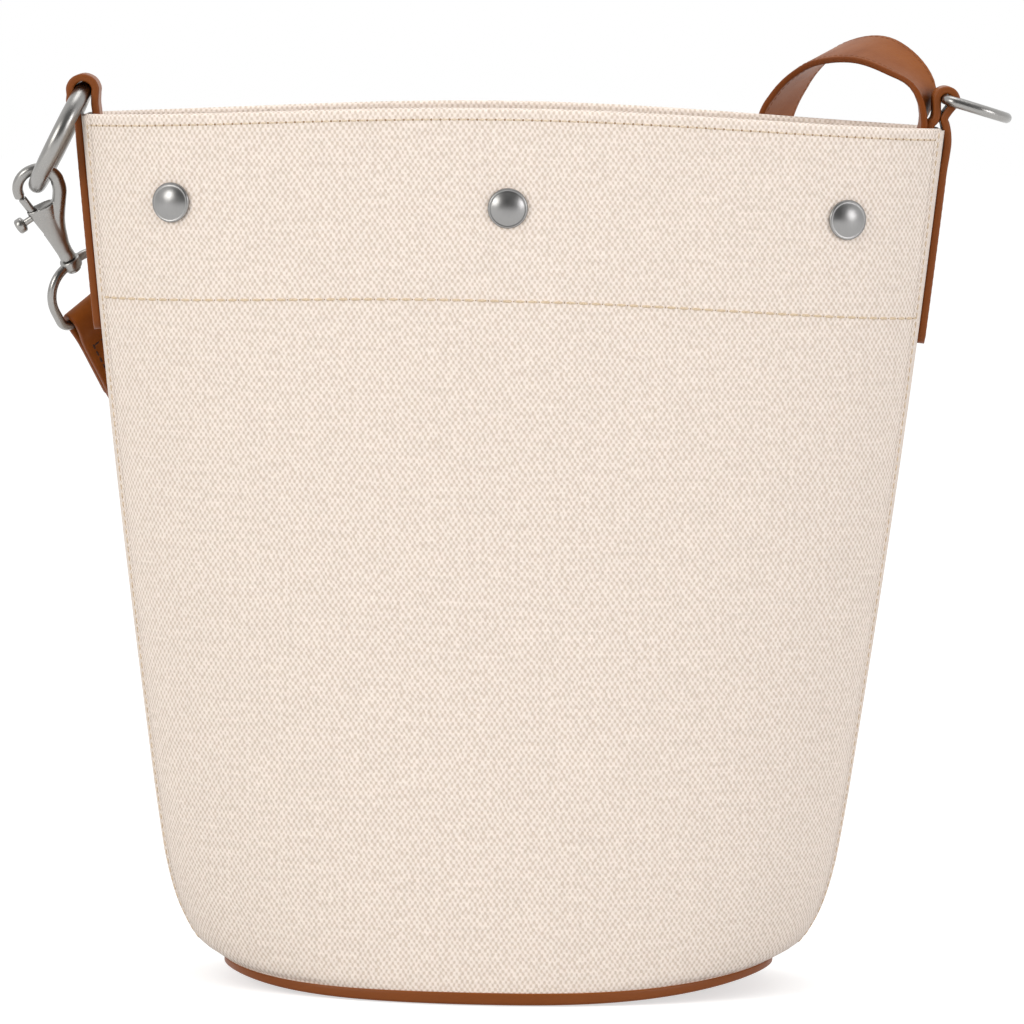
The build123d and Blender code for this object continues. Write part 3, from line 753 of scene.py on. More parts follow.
def side_point(side, z, across, proud):
    """Point on the bag's side, a distance round it from the middle: negative towards the front."""
    _, reach = half_outline(z, proud, 60)
    fraction = abs(across) / reach[-1]
    point, out, _ = along_outline(z, proud, 1 - fraction)
    back = -1 if across > 0 else 1
    return Vector((side * point.x, back * point.y, z)), Vector((side * out.x, back * out.y, 0))


def side_seam(side, material):
    """Folded canvas strip over one side seam, wider towards the front."""
    word = "left" if side < 0 else "right"
    profile = []
    for n in range(25):
        part = -1 + n / 12
        reach = SEAM_FRONT if part < 0 else SEAM_BACK
        profile.append((part * reach, SEAM_PROUD * (1 - abs(part) ** 24) + 0.06))
    points, cloth = [], []
    rows = 110
    for r in range(rows + 1):
        z = mix(SEAM_START, SIDE_RIM - 0.6, (r / rows) ** ROWS_CROWD)
        for across, proud in profile:
            point, _ = side_point(side, z, across, proud)
            point.z += lift(side * half_sizes(z)[0], z)
            points.append(point)
            cloth.append((across, z))
    name = f"side_seam_{word}"
    piece = add_object(name, mesh_from(name, points, grid_faces(rows + 1, len(profile)), cloth),
                       material)
    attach(piece, "bag")
    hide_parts(f"{word}_side_seam")


def seam_stitching(thread):
    for side in (-1, 1):
        word = "left" if side < 0 else "right"
        frames = []
        rows = ((SEAM_STITCH_INSET - SEAM_FRONT, SIDE_RIM - 2), (SEAM_BACK - SEAM_STITCH_INSET, SIDE_RIM - 2),
                (SEAM_MIDDLE, SIDE_RIM - TAB_DROP - 2))
        for across, top in rows:
            points, outs = [], []
            for n in range(201):
                z = mix(SEAM_START + 3, top, n / 200)
                point, out = side_point(side, z, across, SEAM_PROUD + 0.06)
                point.z += lift(side * half_sizes(z)[0], z)
                points.append(point)
                outs.append(out)
            frames += paced(points, outs, RIM_STITCH_PITCH)
        beads(f"seam_stitches_{word}", frames, (1.15, THREAD, 0.22), thread, "bag")


# ---------------------------------------------------------------- sole and board
def band_outline(proud, count=200):
    """Closed outline of the base as (x, y, share of the sole's height)."""
    front = []
    for n in range(count):
        share = band(n / count)
        point, _, _ = along_outline(0.0, proud * share if proud > 0 else proud, n / count)
        front.append((point.x, point.y, share))
    return front + [(-x, -y, share) for x, y, share in front]


def sole(material):
    profile = [(SOLE_PROUD - 1.4, 0.0), (SOLE_PROUD - 0.6, 0.15), (SOLE_PROUD - 0.15, 0.6),
               (SOLE_PROUD, 1.4), (SOLE_PROUD, 3.6), (SOLE_PROUD - 0.12, 4.2), (SOLE_PROUD - 0.45, 4.6),
               (SOLE_INNER + 0.5, 4.6), (SOLE_INNER, 4.3), (SOLE_INNER, SOLE_FLOOR)]
    points, edge = [], []
    for proud, z in profile:
        for x, y, share in band_outline(proud):
            points.append((x, y, z * share + lift(x)))
            edge.append(1.0 if proud > SOLE_PROUD - 0.3 else 0.0)
    columns = len(points) // len(profile)
    faces = grid_faces(len(profile), columns, closed=True)
    bottom, bottom_faces = disc(SOLE_PROUD - 1.4, 0.0)
    top, top_faces = disc(SOLE_INNER, SOLE_FLOOR)
    base = len(points)
    points += bottom + top
    edge += [0.0] * (len(bottom) + len(top))
    faces += [tuple(i + base for i in reversed(f)) for f in bottom_faces]
    faces += [tuple(i + base + len(bottom) for i in f) for f in top_faces]
    mesh = mesh_from("leather_sole", points, faces, None, edge)
    piece = add_object("leather_sole", mesh, material)
    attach(piece, "bag")
    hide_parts("sole")


def disc(proud, z, rings=14):
    """Filled outline of the base that curls up with its ends."""
    outline = [(x, y) for x, y, _ in band_outline(proud)]
    points = []
    for r in range(rings + 1):
        scale = max(r / rings, 0.002)
        points += [(x * scale, y * scale, z + lift(x * scale)) for x, y in outline]
    return points, grid_faces(rings + 1, len(outline), closed=True)


def base_board(material):
    """Covered stiffener inside the bottom."""
    top, faces = disc(BOARD_PROUD, BOARD_HIGH)
    low, _ = disc(BOARD_PROUD, BOARD_LOW)
    columns = len(band_outline(BOARD_PROUD))
    last = len(top) - columns
    base = len(top)
    sides = [(last + n, base + last + n, base + last + (n + 1) % columns, last + (n + 1) % columns)
             for n in range(columns)]
    faces = faces + [tuple(i + base for i in reversed(f)) for f in faces] + sides
    piece = add_object("covered_board", mesh_from("covered_board", top + low, faces), material)
    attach(piece, "bag")
    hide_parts("base_board")


# ---------------------------------------------------------------- tabs
def tab_path(side):
    """Middle line of a tab: up outside, round its loop, and down inside."""
    if side < 0:
        (loop_x, loop_z), radius = LEFT_LOOP, LEFT_LOOP_RADIUS
        turn = [(loop_x + side * radius * math.cos(a), loop_z + radius * math.sin(a))
                for a in (math.radians(d) for d in (-20, 15, 50, 90, 130, 165, 195))]
        neck_out = [(-165.9, 327.6), (-166.8, 330.4)]
        neck_in = [(-157.4, 330.0)]
    else:
        (loop_x, loop_z), radius = RIGHT_LOOP, RIGHT_LOOP_RADIUS
        turn = [(loop_x + side * radius * math.cos(a), loop_z + radius * math.sin(a))
                for a in (math.radians(d) for d in (-15, 20, 55, 90, 125, 160, 185))]
        neck_out = [(163.2, 316.0), (163.7, 320.5), (163.5, 324.5),
                    (162.9, 327.4), (162.3, 329.6), (163.7, 332.2)]
        neck_in = [(159.5, 331.8), (158.9, 329.2)]
    outer, inner = [], []
    outer_top = SIDE_RIM - (1.5 if side < 0 else 16.0)
    for n in range(9):
        z = mix(SIDE_RIM - TAB_DROP + 0.2, outer_top, n / 8)
        outer.append((side * (half_sizes(z)[0] + TAB_OUTER_MIDDLE), z))
        z = mix(SIDE_RIM - TAB_DROP + 0.2, SIDE_RIM, n / 8)
        inner.append((side * (half_sizes(z)[0] + TAB_INNER_MIDDLE), z))
    path = outer + neck_out + turn + neck_in + inner[::-1]
    return [Vector((x, 0.0, z)) for x, z in path]


def tab(side, material, thread):
    word = "left" if side < 0 else "right"
    middles = smooth_path(tab_path(side), 8)
    ways = [Vector((0, 1, 0))] * len(middles)
    middles, ways = dense_ends(middles, ways, reach=1.2)
    frames = ribbon_frames(middles, ways)
    mesh = ribbon_mesh(f"{word}_leather_tab", frames, TAB_WIDTH, TAB_LEATHER, True, True)
    piece = add_object(f"{word}_leather_tab", mesh, material)
    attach(piece, "bag")
    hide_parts(f"{word}_tab")
    stitches = []
    inset = TAB_WIDTH / 2 - 2.2
    bottom = SIDE_RIM - TAB_DROP + 2.6
    for edge in (-inset, inset):
        line = [Vector((side * (half_sizes(z)[0] + TAB_OUTER_MIDDLE + TAB_LEATHER / 2 + 0.02), edge, z))
                for z in (mix(bottom, SIDE_RIM - 18.0, n / 60) for n in range(61))]
        stitches += paced(line, [Vector((side, 0, 0))] * 61, LEATHER_STITCH_PITCH, 1.0)
    z = bottom
    x = side * (half_sizes(z)[0] + TAB_OUTER_MIDDLE + TAB_LEATHER / 2 + 0.02)
    line = [Vector((x, mix(-inset, inset, n / 10), z)) for n in range(11)]
    stitches += paced(line, [Vector((side, 0, 0))] * 11, LEATHER_STITCH_PITCH, 1.0)
    beads(f"{word}_tab_stitches", stitches, (1.15, 0.3, 0.12), thread, "bag")


# ---------------------------------------------------------------- strap
def strap_stations():
    """Stations (middle, across) of the free strap, from the right side of the mouth to the fold."""
    rim, half, back, base = SIDE_RIM, RIM_WIDTH / 2, RIM_DEPTH / 2, BASE_DEPTH / 2
    end = Vector(HOOK_ORIGIN) - Vector(HOOK_UP) * (EYE_DEPTH + FOLD_LENGTH)
    return [
        ((half - STRAP_ROOT, 0, rim + 2.6), (0.0, 1, 0.0)),
        ((half - 9.4, 5, rim + 14.5), (0.30, 1, 0.16)),
        ((half - 16.5, 14, rim + 23), (0.42, 1, 0.32)),
        ((half - 26, 25, rim + 28), (0.52, 1, 0.40)),
        ((half - 36, 38, rim + 28), (0.55, 1, 0.36)),
        ((half - 46, 51, rim + 23.5), (0.52, 1, 0.22)),
        ((half - 55.5, back + 6, rim + 13), (0.60, 1, 0.10)),
        ((half - 62, back + 17, rim - 3), (0.62, 1, 0.0)),
        ((half - 69, back + 26, rim - 40), (0.50, 1, 0.0)),
        ((half - 80, base + 16, 0.66 * rim), (0.30, 1, 0.0)),
        ((half - 103, base + 17, 0.47 * rim), (0.14, 1, 0.0)),
        ((10, base + 18, 0.36 * rim), (0.0, 1, 0.0)),
        ((-42, base + 15, 0.37 * rim), (0.05, 1, 0.0)),
        ((-90, base + 5, 0.45 * rim), (0.22, 1, 0.08)),
        ((-122, base - 16, 0.55 * rim), (0.50, 1, 0.22)),
        (tuple(end), BAR),
    ]


def fold_line():
    """Middle line of the strap's end doubled round the eye's bar, as (point, across)."""
    up = Vector(HOOK_UP).normalized()
    bar = Vector(BAR)
    bar = (bar - up * bar.dot(up)).normalized()
    face = up.cross(bar)
    middle = Vector(HOOK_ORIGIN) - up * EYE_DEPTH
    radius = EYE_WIRE + 0.35 + LEATHER / 2
    layer = LEATHER / 2 + 0.03
    layers = ((0.5, 5.0), (1.0, 11.0), (1.0, 18.0), (1.0, 25.0))
    flat = [(-layer * part, -FOLD_LENGTH + rise) for part, rise in layers]
    flat += [(-layer - 0.5, -8.0), (-radius + 0.25, -3.4)]
    for degrees in (0, 36, 72, 108, 144, 180):
        angle = math.radians(degrees)
        flat.append((-radius * math.cos(angle), radius * math.sin(angle)))
    flat += [(radius - 0.25, -3.4), (layer + 0.5, -8.0), (layer, -13.0), (layer, -20.0), (layer, -28.0),
             (layer, -FOLD_LENGTH + 1.0)]
    return [(middle + face * x + up * y, bar) for x, y in flat], middle, up, bar, face


def strap_line():
    """Whole strap: sewn end inside the mouth, free part, and folded end."""
    sewn = []
    for n in range(7):
        z = mix(SIDE_RIM - STRAP_SEWN, SIDE_RIM - STRAP_SEWN_TOP, n / 6)
        sewn.append(((half_sizes(z)[0] + STRAP_INNER_MIDDLE, 0.0, z), (0.0, 1, 0.0)))
    stations = sewn + strap_stations() + fold_line()[0]
    places = [Vector(place) for place, _ in stations]
    ways = [Vector(way).normalized() for _, way in stations]
    middles, across = [], []
    for i in range(len(stations) - 1):
        long_run = (places[i + 1] - places[i]).length > 20
        steps = STRAP_STEPS if long_run else 5
        for n in range(steps):
            middles.append(catmull(places, i, n / steps))
            across.append(catmull(ways, i, n / steps))
    middles.append(places[-1])
    across.append(ways[-1])
    return middles, across


def strap(material, thread, box_thread):
    middles, across = dense_ends(*strap_line(), reach=1.5)
    frames = ribbon_frames(middles, across)
    mesh = ribbon_mesh("leather_strap", frames, STRAP_WIDTH, LEATHER, True, True, 4.0)
    piece = add_object("leather_strap", mesh, material)
    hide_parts("strap", "strap_anchor")
    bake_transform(piece)
    stitch_strap(frames, thread, box_thread)


def stitch_strap(frames, thread, box_thread):
    """Fine stitches near both edges of the free strap, on both faces, and the box at the fold."""
    total = frames[-1][3]
    free = [f for f in frames if 80.0 < f[3] < total - 2 * FOLD_LENGTH - 12]
    rows = []
    for edge in (-1, 1):
        for face in (-1, 1):
            inset, proud = edge * (STRAP_WIDTH / 2 - STRAP_EDGE_STITCH), face * (LEATHER / 2 + 0.01)
            line = [middle + across * inset + out * proud for middle, across, out, _ in free]
            rows += paced(line, [out * face for _, _, out, _ in free], LEATHER_STITCH_PITCH)
    beads("strap_stitches", rows, (1.2, 0.22, 0.12), thread, "strap")
    _, middle, up, bar, face = fold_line()
    box = []
    high, low, half = -12.0, -30.0, STRAP_WIDTH / 2 - 3.2
    corners = [(-half, high), (half, high), (half, low), (-half, low), (-half, high)]
    for side in (-1, 1):
        for (x0, y0), (x1, y1) in zip(corners, corners[1:]):
            line = [middle + bar * mix(x0, x1, n / 8) + up * mix(y0, y1, n / 8)
                    + face * side * (LEATHER + 0.08) for n in range(9)]
            box += paced(line, [face * side] * 9, LEATHER_STITCH_PITCH, 1.6)
    beads("fold_stitches", box, (1.2, 0.42, 0.25), box_thread, "strap")


# ---------------------------------------------------------------- metal
def metal_piece(name, shape, material, body, replaced, sharp=math.radians(50)):
    points, faces = shape
    piece = add_object(name, mesh_from(name, points, faces, sharp=sharp), material)
    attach(piece, body)
    if replaced:
        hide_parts(*replaced)
    return piece


def round_ring(material):
    lean = math.radians(LEFT_RING_LEAN)
    down = Vector((-math.sin(lean), 0, -math.cos(lean)))
    path = []
    for n in range(120):
        angle = 2 * math.pi * n / 120
        path.append(Vector(LEFT_RING_CENTRE) + down * (math.cos(angle) * LEFT_RING_RADIUS)
                    + Vector((0, 1, 0)) * (math.sin(angle) * LEFT_RING_RADIUS))
    shape = tube(path, LEFT_RING_WIRE, closed=True, steps=32)
    metal_piece("round_ring", shape, material, "left_ring", ["left_ring"])


def mirrored(path):
    """Closed path from one half and its mirror about the first axis."""
    return list(path) + [Vector((p[0], -p[1])) for p in reversed(path[1:-1])]


def d_ring(material):
    drop = math.radians(RIGHT_RING_DROP)
    half, reach = RIGHT_RING_HALF, RIGHT_RING_REACH
    path = rounded([(0, 0), (0, half), (reach, half), (reach, 0)], [4.0, half - 1])
    origin = (RIGHT_LOOP[0], 0.0, RIGHT_LOOP[1])
    path = on_plane(origin, (math.cos(drop), 0, -math.sin(drop)), (0, 1, 0), mirrored(path))
    shape = tube(path, RIGHT_RING_WIRE, closed=True, steps=24)
    metal_piece("d_ring", shape, material, "right_ring", ["right_ring"])


def hook_body_shape():
    """Arm and body of the hook before they are blended together, in the hook's plane."""
    across, up = Vector(HOOK_ACROSS).normalized(), Vector(HOOK_UP).normalized()
    square = across.cross(up)
    origin = Vector(HOOK_ORIGIN)
    u, w = HOOK_CENTRE
    arm = [(1.0, 4.0), (1.7, 9.0), (2.6, 14.0), (4.2, 19.0), (6.8, 24.0), (9.1, 28.5), (u + HOOK_RADIUS, w)]
    arm = smooth_path(arm, 6)[:-1]
    for n in range(37):
        angle = math.radians(NOSE_ANGLE * n / 36)
        arm.append(Vector((u + HOOK_RADIUS * math.cos(angle), w + HOOK_RADIUS * math.sin(angle))))
    count = len(arm)
    radii = [mix(1.6, ARM_WIRE, min(n / (0.25 * count), 1.0)) if n < 0.42 * count
             else mix(ARM_WIRE, HOOK_WIRE, min((n / count - 0.42) / 0.3, 1.0)) for n in range(count)]
    shapes = [tube(on_plane(origin, across, up, arm), radii, steps=24)]
    sections = [(0.0, 0.0, 2.9, 2.9), (1.2, 0.0, 3.1, 2.9), (3.5, -0.1, 3.0, 2.5), (8, -0.2, 3.4, 2.4),
                (13, -0.2, 4.0, 2.6), (18, -0.3, 4.9, 2.8), (22, -0.4, 5.5, 2.9),
                (LIP_HEIGHT - 0.6, -0.5, 5.7, 2.9), (LIP_HEIGHT, -0.5, 5.4, 2.6)]
    points = []
    steps = 32
    for height, middle, half, thick in sections:
        for n in range(steps):
            angle = 2 * math.pi * n / steps
            c, s = math.cos(angle), math.sin(angle)
            wide = middle + half * math.copysign(abs(c) ** 0.8, c)
            deep = thick * math.copysign(abs(s) ** 0.8, s)
            points.append(origin + across * wide + up * height + square * deep)
    faces = grid_faces(len(sections), steps, closed=True)
    faces.append(tuple(reversed(range(steps))))
    last = (len(sections) - 1) * steps
    points.append(origin - across * 0.5 + up * (LIP_HEIGHT - 1.3))
    faces += [(last + n, last + (n + 1) % steps, len(points) - 1) for n in range(steps)]
    shapes.append((points, faces))
    return join_shapes(shapes)


def apply_modifiers(piece):
    depsgraph = bpy.context.evaluated_depsgraph_get()
    mesh = bpy.data.meshes.new_from_object(piece.evaluated_get(depsgraph))
    piece.modifiers.clear()
    piece.data = mesh


def cut(piece, shape, material):
    """Takes a closed shape out of a piece."""
    tool = add_object("cutter", mesh_from("cutter", *shape), material)
    boolean = piece.modifiers.new("cut", "BOOLEAN")
    boolean.operation, boolean.solver, boolean.object = "DIFFERENCE", "EXACT", tool
    bpy.context.view_layer.update()
    apply_modifiers(piece)
    bpy.data.objects.remove(tool)


def bolt_ways():
    """Bolt's tip, the way its axis points, and the way its knob points."""
    lean = math.radians(BOLT_LEAN)
    across, up = Vector(HOOK_ACROSS).normalized(), Vector(HOOK_UP).normalized()
    way = up * math.cos(lean) - across * math.sin(lean)
    side = -across * math.cos(lean) - up * math.sin(lean)
    tip = Vector(HOOK_ORIGIN) + across * BOLT_TIP[0] + up * BOLT_TIP[1]
    return tip, way, side


def box_shape(middle, axes, halves):
    points = []
    first, second, third = (axis * half for axis, half in zip(axes, halves))
    for a in (-1, 1):
        for b in (-1, 1):
            for c in (-1, 1):
                points.append(middle + first * a + second * b + third * c)
    faces = [(0, 1, 3, 2), (4, 6, 7, 5), (0, 4, 5, 1), (2, 3, 7, 6), (0, 2, 6, 4), (1, 5, 7, 3)]
    return points, faces


def hook(material):
    """Hook body with its arm, softly blended, bored for the bolt and slotted for the knob."""
    points, faces = hook_body_shape()
    piece = add_object("hook_body", mesh_from("hook_body", points, faces), material)
    remesh = piece.modifiers.new("blend", "REMESH")
    remesh.mode, remesh.voxel_size = "VOXEL", 0.3 * MM
    soften = piece.modifiers.new("soften", "SMOOTH")
    soften.factor, soften.iterations = 0.5, 9
    bpy.context.view_layer.update()
    apply_modifiers(piece)
    tip, way, side = bolt_ways()
    bore_top = tip - way * (BOLT_TIP[1] - LIP_HEIGHT - 3.0)
    bore = tube([bore_top, tip - way * (BOLT_LENGTH + 8.0)], BOLT_RADIUS + BOLT_ROOM, steps=32)
    cut(piece, bore, material)
    length = BOLT_TRAVEL + 2 * KNOB_STEM + 0.8
    middle = tip - way * (KNOB_DEPTH + BOLT_TRAVEL / 2) + side * 6.0
    square = way.cross(side)
    cut(piece, box_shape(middle, (way, side, square), (length / 2, 6.0, KNOB_STEM + 0.35)), material)
    smooth(piece.data)
    if not piece.data.materials:
        piece.data.materials.append(material)
    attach(piece, "hook")
    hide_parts("hook_frame")
    up = Vector(HOOK_UP).normalized()
    profile = [(0.01, 1.0), (NECK_RADIUS, 1.0), (NECK_RADIUS, NECK_HEAD_TOP),
               (NECK_HEAD - 0.3, NECK_HEAD_TOP), (NECK_HEAD, NECK_HEAD_TOP - 0.3),
               (NECK_HEAD, NECK_END + 0.5), (NECK_HEAD - 0.5, NECK_END + 0.1), (0.01, NECK_END)]
    metal_piece("hook_neck", lathe(profile, HOOK_ORIGIN, up), material, "hook", [])


def bolt(material):
    tip, way, side = bolt_ways()
    rod = [(0.01, 0.0), (0.7, -0.05), (1.25, -0.3), (BOLT_RADIUS, -0.9), (BOLT_RADIUS, -BOLT_LENGTH + 0.3),
           (BOLT_RADIUS - 0.3, -BOLT_LENGTH), (0.01, -BOLT_LENGTH)]
    base = tip - way * KNOB_DEPTH
    knob = [(0.01, 0.4), (KNOB_STEM, 0.4), (KNOB_STEM, KNOB_REACH - 3.8), (1.9, KNOB_REACH - 3.5),
            (KNOB_RADIUS - 0.3, KNOB_REACH - 3.2), (KNOB_RADIUS, KNOB_REACH - 2.7),
            (KNOB_RADIUS, KNOB_REACH - 0.8), (KNOB_RADIUS - 0.4, KNOB_REACH - 0.25),
            (1.6, KNOB_REACH), (0.01, KNOB_REACH)]
    shape = join_shapes([lathe(rod, tip, way), lathe(knob, base, side)])
    metal_piece("hook_thumb_bolt", shape, material, "bolt", ["hook_bolt"])


def spring(material):
    """Coil behind the bolt, which the bolt presses towards the end of its bore."""
    tip, way, side = bolt_ways()
    square = way.cross(side)
    foot = tip - way * (BOLT_LENGTH + SPRING_LENGTH)
    radius = BOLT_RADIUS - 2 * SPRING_WIRE
    count = 24 * SPRING_TURNS
    points = []
    for n in range(count + 1):
        angle = 2 * math.pi * SPRING_TURNS * n / count
        rise = mix(2 * SPRING_WIRE, SPRING_LENGTH - 2 * SPRING_WIRE, n / count)
        points.append(foot + way * rise + (side * math.cos(angle) + square * math.sin(angle)) * radius)
    shape = tube(points, SPRING_WIRE, steps=10)
    coil = metal_piece("spring_coil", shape, material, "hook", ["bolt_spring"])
    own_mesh(coil)


def eye(material):
    up, bar = Vector(HOOK_UP).normalized(), Vector(BAR)
    bar = (bar - up * bar.dot(up)).normalized()
    half = [(0, EYE_TOP), (EYE_HALF, EYE_TOP - 1.0), (EYE_HALF, -EYE_DEPTH), (0, -EYE_DEPTH)]
    half = rounded(half, [EYE_SHOULDER, EYE_CORNER])
    path = half + [Vector((-p[0], p[1])) for p in reversed(half[1:-1])]
    loop = tube(on_plane(HOOK_ORIGIN, bar, up, path), EYE_WIRE, closed=True, steps=24)
    inner = NECK_RADIUS + 0.25
    top, low = EYE_TOP + COLLAR_HALF, EYE_TOP - COLLAR_HALF
    profile = [(inner, top), (COLLAR_RADIUS - 0.6, top), (COLLAR_RADIUS - 0.15, top - 0.2),
               (COLLAR_RADIUS, top - 0.7), (COLLAR_RADIUS, low + 0.7), (COLLAR_RADIUS - 0.15, low + 0.2),
               (COLLAR_RADIUS - 0.6, low), (inner, low), (inner, top)]
    collar = lathe(profile, HOOK_ORIGIN, up)
    metal_piece("swivel_eye_ring", join_shapes([loop, collar]), material, "swivel", ["swivel_eye"])


def snap_places(back):
    places = []
    for x, drop in SNAPS:
        z = rim_height(x) - drop
        width, depth = half_sizes(z)
        depth -= SIDE_FLAT / 2
        rise = math.sqrt(1 - (x / width) ** 2)
        way = 1 if back else -1
        out = Vector((x / width**2, way * rise / depth, 0)).normalized()
        places.append((Vector((x, way * (SIDE_FLAT / 2 + depth * rise), z)), out))
    return places


def snaps(polished):
    cap = [(7.0, 0.1), (7.45, 0.45), (7.5, 0.95), (7.25, 1.4), (6.85, 1.6), (6.5, 1.5), (6.25, 1.55),
           (5.6, 1.95), (4.4, 2.5), (3.0, 2.95), (1.5, 3.2), (0.4, 3.27), (0.01, 3.28)]
    head = [(4.9, 0.45), (5.0, 0.75), (4.6, 1.05), (3.6, 1.4), (2.2, 1.62), (0.8, 1.7), (0.01, 1.7)]
    kinds = ((False, cap, "snap_cap", "snap_caps"), (True, head, "snap_post_head", "snap_posts"))
    for back, profile, word, node in kinds:
        for n, (place, out) in enumerate(snap_places(back)):
            replaced = [node] if n == 0 else []
            shape = lathe(profile, place, out, 64)
            metal_piece(f"{word}_{n + 1}", shape, polished, "bag", replaced,
                        math.radians(35))


# ---------------------------------------------------------------- stage
def stage():
    floor_mesh = bpy.data.meshes.new("floor")
    reach = FLOOR_REACH * MM
    floor_corners = [(-reach, -reach, 0), (reach, -reach, 0), (reach, reach, 0), (-reach, reach, 0)]
    floor_mesh.from_pydata(floor_corners, [], [(0, 1, 2, 3)])
    floor = bpy.data.objects.new("floor", floor_mesh)
    floor.location.z = -FLOOR_DROP * MM
    bpy.context.scene.collection.objects.link(floor)
    material = bpy.data.materials.new("floor")
    material.use_nodes = True
    nodes, links = material.node_tree.nodes, material.node_tree.links
    nodes.clear()
    diffuse = nodes.new("ShaderNodeBsdfDiffuse")
    diffuse.inputs["Color"].default_value = (0.6, 0.6, 0.6, 1)
    glow = nodes.new("ShaderNodeEmission")
    seen = seen_directly(nodes, links)
    links.new(math_node(nodes, links, "MULTIPLY", seen, FLOOR_GLOW), glow.inputs["Strength"])
    both = nodes.new("ShaderNodeAddShader")
    output = nodes.new("ShaderNodeOutputMaterial")
    links.new(diffuse.outputs[0], both.inputs[0])
    links.new(glow.outputs[0], both.inputs[1])
    links.new(both.outputs[0], output.inputs["Surface"])
    floor_mesh.materials.append(material)


def seen_directly(nodes, links):
    """1 for camera, mirror and see-through rays."""
    path = nodes.new("ShaderNodeLightPath")
    seen = math_node(nodes, links, "MAXIMUM", path.outputs["Is Camera Ray"], path.outputs["Is Glossy Ray"])
    return math_node(nodes, links, "MAXIMUM", seen, path.outputs["Is Transmission Ray"])


def world():
    """White to the eye; to light and reflections a pale room that darkens behind the camera."""
    scene_world = bpy.data.worlds.new("studio")
    bpy.context.scene.world = scene_world
    scene_world.use_nodes = True
    nodes, links = scene_world.node_tree.nodes, scene_world.node_tree.links
    nodes.clear()
    path = nodes.new("ShaderNodeLightPath")
    glossy = path.outputs["Is Glossy Ray"]
    through = path.outputs["Is Transmission Ray"]
    seen = math_node(nodes, links, "MAXIMUM", path.outputs["Is Camera Ray"], through)
    split = nodes.new("ShaderNodeSeparateXYZ")
    links.new(nodes.new("ShaderNodeTexCoord").outputs["Generated"], split.inputs[0])
    depth = map_range(nodes, links, split.outputs[1], -0.75, 0.15, 0.12, 1.0, True)
    aside = math_node(nodes, links, "ABSOLUTE", split.outputs[0])
    sides = map_range(nodes, links, aside, 0.25, 0.8, 0.0, 0.75, True)
    room = math_node(nodes, links, "MAXIMUM", depth, sides)
    mirror_room = math_node(nodes, links, "MULTIPLY", room, glossy)
    plain = math_node(nodes, links, "MULTIPLY", math_node(nodes, links, "SUBTRACT", 1.0, glossy), WORLD_LIGHT)
    level = math_node(nodes, links, "ADD", mirror_room, plain)
    light = nodes.new("ShaderNodeBackground")
    links.new(level, light.inputs["Strength"])
    white = nodes.new("ShaderNodeBackground")
    choose = nodes.new("ShaderNodeMixShader")
    output = nodes.new("ShaderNodeOutputWorld")
    white.inputs["Color"].default_value = (1, 1, 1, 1)
    light.inputs["Color"].default_value = (1, 1, 1, 1)
    links.new(seen, choose.inputs[0])
    links.new(light.outputs[0], choose.inputs[1])
    links.new(white.outputs[0], choose.inputs[2])
    links.new(choose.outputs[0], output.inputs["Surface"])


def lamp(name, place, target, size, power, colour):
    light = bpy.data.lights.new(name, "AREA")
    light.shape, light.size, light.energy, light.color = "DISK", size, power, colour
    holder = bpy.data.objects.new(name, light)
    holder.location = place
    holder.rotation_mode = "QUATERNION"
    holder.rotation_quaternion = (Vector(target) - Vector(place)).to_track_quat("-Z", "Y")
    bpy.context.scene.collection.objects.link(holder)


def lights():
    middle = (0, 0, 0.18)
    lamp("key", (-2.2, -1.9, 1.4), middle, 1.4, 33, (1.0, 0.985, 0.95))
    lamp("fill", (2.3, -1.7, 1.0), middle, 1.4, 22, (1.0, 0.985, 0.995))
    lamp("top", (0.1, 0.3, 2.2), middle, 1.2, 9, (1.0, 1.0, 1.0))


def camera():
    lens = bpy.data.cameras.new("camera")
    lens.lens, lens.sensor_width = CAMERA_LENS, CAMERA_SENSOR
    holder = bpy.data.objects.new("camera", lens)
    pitch = Matrix.Rotation(math.radians(90 - CAMERA_PITCH), 4, "X")
    roll = Matrix.Rotation(math.radians(CAMERA_ROLL), 4, "Z")
    holder.matrix_world = Matrix.Translation(Vector(CAMERA_PLACE) * MM) @ (pitch @ roll)
    bpy.context.scene.collection.objects.link(holder)
    bpy.context.scene.camera = holder


# ---------------------------------------------------------------- everything together
def dress_nodes(frame, finishes):
    """Gives each CAD node that stays in view its material."""
    for name, material in finishes.items():
        mesh = frame["nodes"][name].data
        mesh.materials.clear()
        mesh.materials.append(material)


def corners(box):
    return [list(corner) for corner in box]


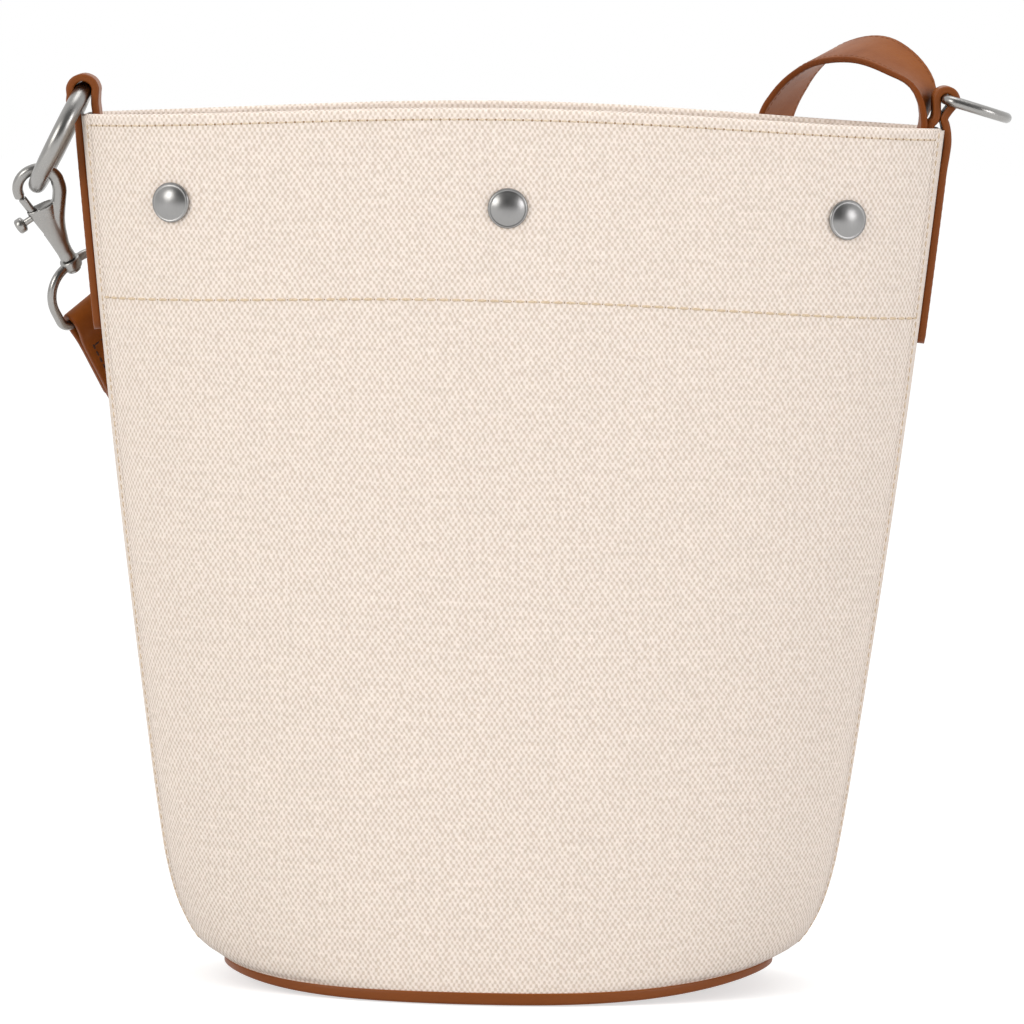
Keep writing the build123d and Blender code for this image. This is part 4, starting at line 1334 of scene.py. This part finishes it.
def build():
    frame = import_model()
    # each canvas's second colour is the painted shade between its yarns
    canvas = canvas_material("canvas", (0.96, 0.855, 0.77), (0.71, 0.60, 0.50))
    seam_canvas = canvas_material("seam_canvas", (0.95, 0.84, 0.75), (0.74, 0.63, 0.53), 1.4, 1.9)
    leather = leather_material("leather", (0.325, 0.098, 0.014), (0.235, 0.062, 0.008),
                               (0.20, 0.052, 0.008), 0.22)
    strap_leather = leather_material("strap_leather", (0.285, 0.082, 0.011), (0.215, 0.056, 0.008),
                                     (0.18, 0.044, 0.007), 0.12)
    nickel = metal_material("nickel", (0.33, 0.322, 0.31), 0.24, 0.36)
    polished = metal_material("polished_nickel", (0.30, 0.296, 0.292), 0.3, 0.4)
    ecru = thread_material("ecru_thread", (0.79, 0.64, 0.46), (0.62, 0.47, 0.31))
    brown = thread_material("brown_thread", (0.23, 0.066, 0.012), (0.15, 0.042, 0.010))
    cream = thread_material("cream_thread", (0.82, 0.69, 0.53), (0.66, 0.52, 0.37))
    dark_thread = thread_material("dark_thread", (0.07, 0.022, 0.010), (0.03, 0.010, 0.006))
    # painted shade: dark dots standing for the shade inside the needle holes
    hole_shade = thread_material("needle_hole_shade", (0.42, 0.28, 0.16), (0.30, 0.19, 0.10))
    # second colour: painted shade in the weave's hollows, and random flecks
    lining = board_material("lining", (0.80, 0.71, 0.60), (0.62, 0.53, 0.42))

    canvas_half("canvas_front", False, canvas, ["canvas_front_panel", "front_facing"])
    canvas_half("canvas_back", True, canvas, ["canvas_back_panel", "back_facing"])
    canvas_stitching(cream, ecru, hole_shade)
    for side in (-1, 1):
        side_seam(side, seam_canvas)
        tab(side, leather, brown)
    seam_stitching(ecru)
    sole(leather)
    base_board(lining)
    strap(strap_leather, brown, dark_thread)
    round_ring(nickel)
    d_ring(nickel)
    hook(nickel)
    bolt(nickel)
    spring(nickel)
    eye(nickel)
    snaps(polished)
    dress_nodes(frame, {"snap_sockets": nickel, "snap_studs": nickel})
    stage()
    world()
    lights()
    camera()
    bpy.context.scene.view_settings.view_transform = "Standard"


build()
